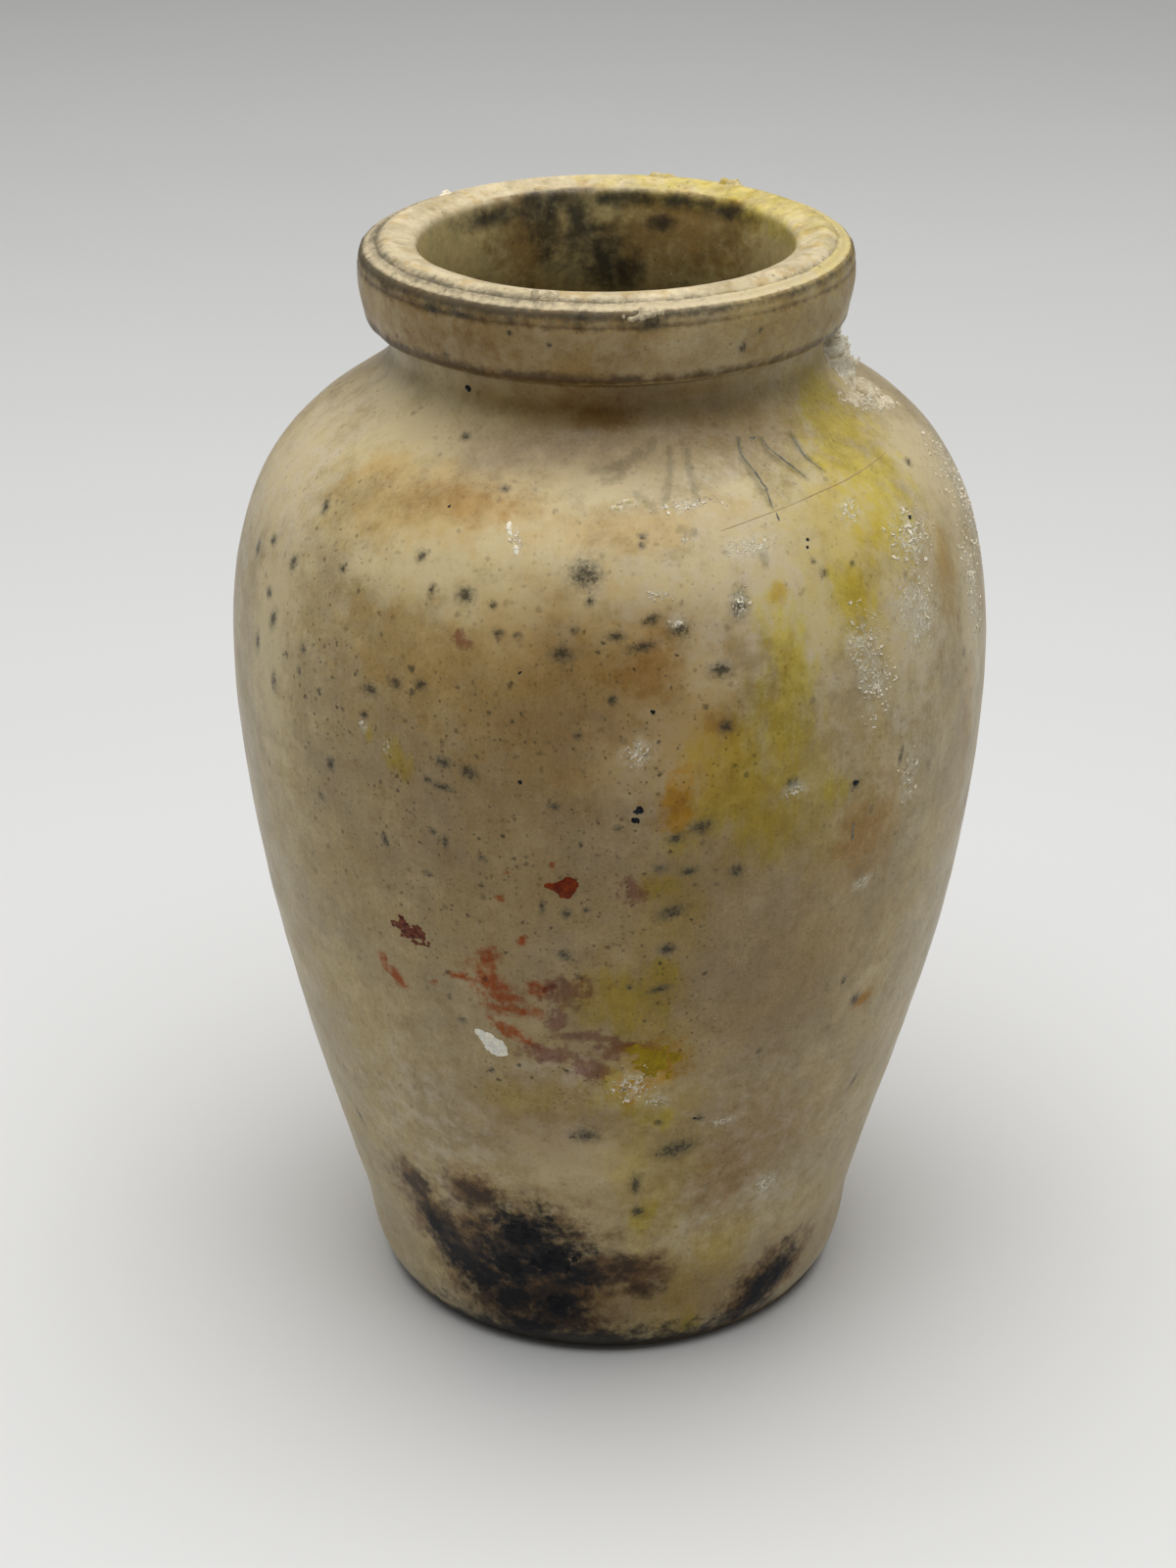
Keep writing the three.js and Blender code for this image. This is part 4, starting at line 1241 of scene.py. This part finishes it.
def build_collar_skin():
    bearings = crowded_bearings(SKIN_COLUMNS)
    bearing, arc = np.meshgrid(bearings, collar.arc)
    plain = collar.places(bearing, arc)
    radius = radius_of(plain)
    height = plain[..., 2]
    face = (radius > COLLAR_EDGE[0] - COLLAR_CORNER) & (height < COLLAR_EDGE[1])
    wear = COLLAR_WEAR * cloud_noise(plain, COLLAR_WEAR_SIZE, 53)
    incised_height = COLLAR_EDGE[1] - INCISED_DROP
    incised = INCISED_DEPTH * np.where(face, swell(height, incised_height, INCISED_REACH), 0)
    outer = collar.places(bearing, arc, wear - incised)
    points, faces = turned_mesh(np.concatenate([outer, rows_at(collar_inner, bearings)]), closed=True)
    skin = new_object("collar_skin", points, faces, rim_glaze())
    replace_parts(skin, "collar_glaze")
    worn, scuffs, groove_dark = rim_wear(bearing, plain)
    edge = np.hypot(radius - COLLAR_EDGE[0], height - COLLAR_EDGE[1])
    edge_dark = 0.3 + 0.75 * worn + scuffs - edge / EDGE_STAIN
    foot_line = np.abs(height - COLLAR_FOOT - COLLAR_FOOT_RISE) / COLLAR_FOOT_STAIN
    foot_dark = 0.55 + 0.35 * worn + scuffs - foot_line
    incised_dark = 0.5 * worn + scuffs - np.abs(height - incised_height) / INCISED_STAIN
    on_top = (height > COLLAR_EDGE[1]) & (radius < COLLAR_EDGE[0] - COLLAR_BEVEL)
    layers = {
        "grime": np.maximum(edge_dark, groove_dark),
        "rust": np.maximum(foot_dark, np.where(face, incised_dark, -1)),
        "cream": np.where(on_top, 0.5, -1.0),
        "tan": lattice_noise(plain, 10 * MM, 59) + 0.5 * worn,
        "stained": 0.35 + 0.65 * worn,
        "yellow": 1.4 * np.cos(bearing - COLLAR_PAINT) - 0.95,
        "spots": oval_field(spots_of(COLLAR_SPOT_MARKS, collar), bearing, arc),
    }
    add_row_layers(skin, [collar.line, collar_inner], layers)


def build_lining_skin():
    bearings = crowded_bearings(SKIN_COLUMNS)
    bearing, arc = np.meshgrid(bearings, lining.arc)
    plain = lining.places(bearing, arc)
    depth = LIP_TOP - plain[..., 2]
    fade = ramp(radius_of(plain), *POT_FLOOR_FADE)
    outer = lining.places(bearing, arc, fade * LINING_WEAR * cloud_noise(plain, LINING_WEAR_SIZE, 61))
    points, faces = turned_mesh(np.concatenate([outer, rows_at(lining_inner, bearings)]), closed=False)
    skin = new_object("lining_skin", points, faces, lining_glaze())
    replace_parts(skin, "inner_glaze")
    bore = lining_outer[lining_outer[:, 1] > LIP_TOP - BORE_SHOWN / 2, 0].min()
    bore_layers = []
    for places in (CHAR_PLACES, BORE_TEA_PLACES):
        spots = []
        for turn, deep, across, along in places:
            at_depth = lining.arc_near(bore, LIP_TOP - deep * MM)
            spots.append(Spot(math.radians(turn), at_depth, bore, across * MM, along * MM))
        bore_layers.append(oval_field(spots, bearing, arc) - 2 * (1 - ramp(depth, *BORE_START)))
    layers = {
        "lip": 1 - ramp(depth, *LIP_FADE),
        "grime": rim_wear(bearing, plain)[2],
        "char": bore_layers[0],
        "tea": bore_layers[1],
        "yellow": 2.0 * np.cos(bearing - LIP_PAINT) - 1.6 - ramp(depth, *PAINT_FADE),
    }
    add_row_layers(skin, [lining.line, lining_inner], layers)


def build_clay():
    bearings = crowded_bearings(SKIN_COLUMNS // 2)
    points, faces = turned_mesh(rows_at(clay_line, bearings), closed=False)
    clay = dry_material("fired_clay", BARE_CLAY, DARK_CLAY, 3 * MM, 0.8, 149)
    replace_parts(new_object("clay_body", points, faces, clay), "thrown_body")
    points, faces = turned_mesh(rows_at(collar_clay_line, bearings), closed=True)
    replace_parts(new_object("clay_collar", points, faces, clay), "rim_collar")


def rim_spot(surface, node, across, along):
    """A spot on a rim surface below the middle of a crust's solid."""
    low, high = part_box(node)
    middle = (low + high) / 2
    radius = math.hypot(middle.x, middle.y)
    arc = surface.arc_near(radius, middle.z)
    return Spot(math.atan2(middle.y, middle.x), arc, radius, across * MM, along * MM)


def build_crusts():
    plaster = dry_material("plaster", PLASTER_LIGHT, PLASTER_DARK, 1.6 * MM, 0.85, 163)
    dusty = dry_material("dusty_plaster", PLASTER_DULL, PLASTER_GREY, 0.8 * MM, 0.85, 171)
    paint = dry_material("paint_crumb", PAINT_CREAM, PAINT_YELLOW, 1.4 * MM, 0.7, 179)
    corner = []
    for turn, radius, height, across, along in CORNER_PLACES:
        arc = body.arc_near(radius * MM, height * MM)
        corner.append(Spot(math.radians(turn), arc, radius * MM, across * MM, along * MM))
    rims = {
        "rim_crumb_back": rim_spot(lining, "rim_crumb_back", 1.7, 1.1),
        "rim_crumb_right": rim_spot(lining, "rim_crumb_right", 1.5, 1.1),
        "rim_dab_left": rim_spot(lining, "rim_dab_left", 1.1, 0.8),
        "lip_flake_front": rim_spot(lining, "lip_flake_front", 1.7, 0.7),
        "collar_flake_front": rim_spot(collar, "collar_flake_front", 1.8, 0.8),
    }
    crusts = [
        ("plaster_crust", "plaster_lump", on_body, 1.7, 0.5, 1.3, plaster, "plaster"),
        ("rim_crumb_back", "paint_crumb_back", lining.places, 0.32, 0.5, 1.3, paint, "paint"),
        ("rim_crumb_right", "paint_crumb_right", lining.places, 0.6, 0.5, 1.3, paint, "paint"),
        ("rim_dab_left", "plaster_dab_left", lining.places, 0.35, 0.5, 1.3, plaster, "plaster"),
        ("lip_flake_front", "plaster_flake_lip", lining.places, 0.22, 0.7, 0.8, dusty, "plaster"),
        ("collar_flake_front", "plaster_flake_collar", collar.places, 0.25, 0.8, 0.7, dusty, "plaster"),
    ]
    for seed, (node, name, place, thickness, ragged, grain, material, slot) in enumerate(crusts):
        spots = [rims[node]] if node in rims else corner
        sizes = (thickness * MM, ragged, grain * MM)
        points, faces = patch_mesh(place, spots, *sizes, 200 + 11 * seed, CRUST_CELL)
        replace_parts(new_object(name, points, faces, material), node)
    dabs = [
        ("red_dab", RED_DABS, 0.16, 0.25, 0.8, RED_PAINT, RED_DARK),
        ("maroon_dab", MAROON_DABS, 0.08, 0.9, 0.5, MAROON, MAROON_DARK),
        ("white_dab", WHITE_DABS, 0.14, 0.4, 0.9, WHITE_PAINT, PLASTER_LIGHT),
        ("cream_drip", CREAM_DABS, 0.15, 0.5, 0.9, PLASTER_LIGHT, PAINT_CREAM),
        ("amber_dab", AMBER_DABS, 0.05, 0.6, 0.9, AMBER, AMBER_DARK),
        ("tar_patch", TAR_CORE, 0.06, 0.5, 0.9, TAR, TAR_BROWN),
        ("black_dots", BLACK_MARKS, 0.08, 0.6, 0.5, TAR, CHARCOAL),
    ]
    for seed, (name, marks, thickness, ragged, grain, light, dark) in enumerate(dabs):
        material = dry_material(name, light, dark, 1.3 * grain * MM, 0.55, 300 + 7 * seed)
        sizes = (thickness * MM, ragged, grain * MM)
        for number, group in enumerate(dab_groups(spots_of(marks, body))):
            points, faces = patch_mesh(on_body, group, *sizes, 400 + 13 * seed, DAB_CELL)
            new_object(f"{name}_{number + 1}", points, faces, material)
    smear = dry_material("plaster_smear", PLASTER_DARK, PLASTER_DULL, 1.0 * MM, 0.85, 187)
    spots = spots_of(SMEAR_MARKS, body)
    points, faces = patch_mesh(on_body, spots, 0.28 * MM, 0.8, 0.7 * MM, 280, CRUST_CELL)
    new_object("plaster_smear", points, faces, smear)
    points, faces = flake_mesh(spots_of(FLAKE_MARKS, body), 77)
    new_object("plaster_flakes", points, faces, plaster, smooth=False)


def build_strokes():
    kinds = [
        ("dark_strokes", DARK_STROKES, PENCIL, FAINT_PENCIL),
        ("rust_strokes", RUST_STROKES, RUST, CREAM),
    ]
    for seed, (name, strokes, strong, weak) in enumerate(kinds):
        material = dry_material(name, strong, weak, 1.0 * MM, 0.5, 500 + 9 * seed)
        points, faces = ribbon_mesh(strokes, 600 + 5 * seed)
        new_object(name, points, faces, material)


def dab_groups(spots):
    """Spots gathered into groups that touch one another."""
    groups = []
    for spot in spots:
        near = []
        for group in groups:
            apart = [math.hypot(wrapped(spot.bearing - other.bearing) * other.radius, spot.arc - other.arc)
                     - max(spot.across, spot.along) - max(other.across, other.along) for other in group]
            if min(apart) < 0:
                near.append(group)
        joined = [spot] + [other for group in near for other in group]
        groups = [group for group in groups if all(group is not other for other in near)] + [joined]
    return groups


# The stage
def build_floor():
    graph = Graph(bpy.data.materials.new("floor"))
    grain = graph.step(graph.noise(FLOOR_GRAIN, 191, 2), 0.3, 0.7)
    graph.feed(graph.shader.inputs["Base Color"], graph.mix(grain, FLOOR_COLOUR, FLOOR_SHADE))
    graph.shader.inputs["Roughness"].default_value = FLOOR_ROUGHNESS
    mesh = bpy.data.meshes.new("floor")
    signs = [(-1, -1), (1, -1), (1, 1), (-1, 1)]
    corners = [(side * FLOOR_REACH, ahead * FLOOR_REACH, 0) for side, ahead in signs]
    mesh.from_pydata(corners, [], [(0, 1, 2, 3)])
    mesh.materials.append(graph.owner)
    floor = bpy.data.objects.new("floor", mesh)
    bpy.context.collection.objects.link(floor)


def build_light():
    lamp = bpy.data.lights.new("overhead", "AREA")
    lamp.shape = "SQUARE"
    lamp.size = LAMP_SIZE
    lamp.energy = LAMP_POWER
    holder = bpy.data.objects.new("overhead", lamp)
    holder.location = LAMP_AT
    bpy.context.collection.objects.link(holder)
    graph = Graph(bpy.data.worlds.new("studio"))
    towards = graph.node("ShaderNodeSeparateXYZ", Vector=graph.coordinates["Generated"]).outputs
    aside = graph.math("ABSOLUTE", towards["X"])
    back = graph.step(towards["Y"], *STUDIO_BACK_STEP, STUDIO_FRONT, STUDIO_BACK)
    sides = graph.step(aside, *STUDIO_SIDES_STEP, 0, STUDIO_SIDES)
    background = graph.tree.nodes["Background"]
    graph.feed(background.inputs["Strength"], graph.math("ADD", back, sides))
    graph.feed(background.inputs["Color"], STUDIO_COLOUR)
    bpy.context.scene.world = graph.owner


def build_camera():
    lens = bpy.data.cameras.new("photo_camera")
    lens.sensor_fit = "VERTICAL"
    lens.sensor_height = SENSOR_HEIGHT_MM
    lens.lens = FOCAL_PIXELS / PHOTO_HEIGHT * SENSOR_HEIGHT_MM
    camera = bpy.data.objects.new("photo_camera", lens)
    camera.matrix_world = Matrix.Translation(CAMERA_AT) @ CAMERA_TURN.to_4x4()
    bpy.context.collection.objects.link(camera)
    bpy.context.scene.camera = camera


build_camera()
build_body_skin()
build_collar_skin()
build_lining_skin()
build_clay()
build_crusts()
build_strokes()
build_floor()
build_light()
bpy.context.scene.view_settings.view_transform = "Standard"
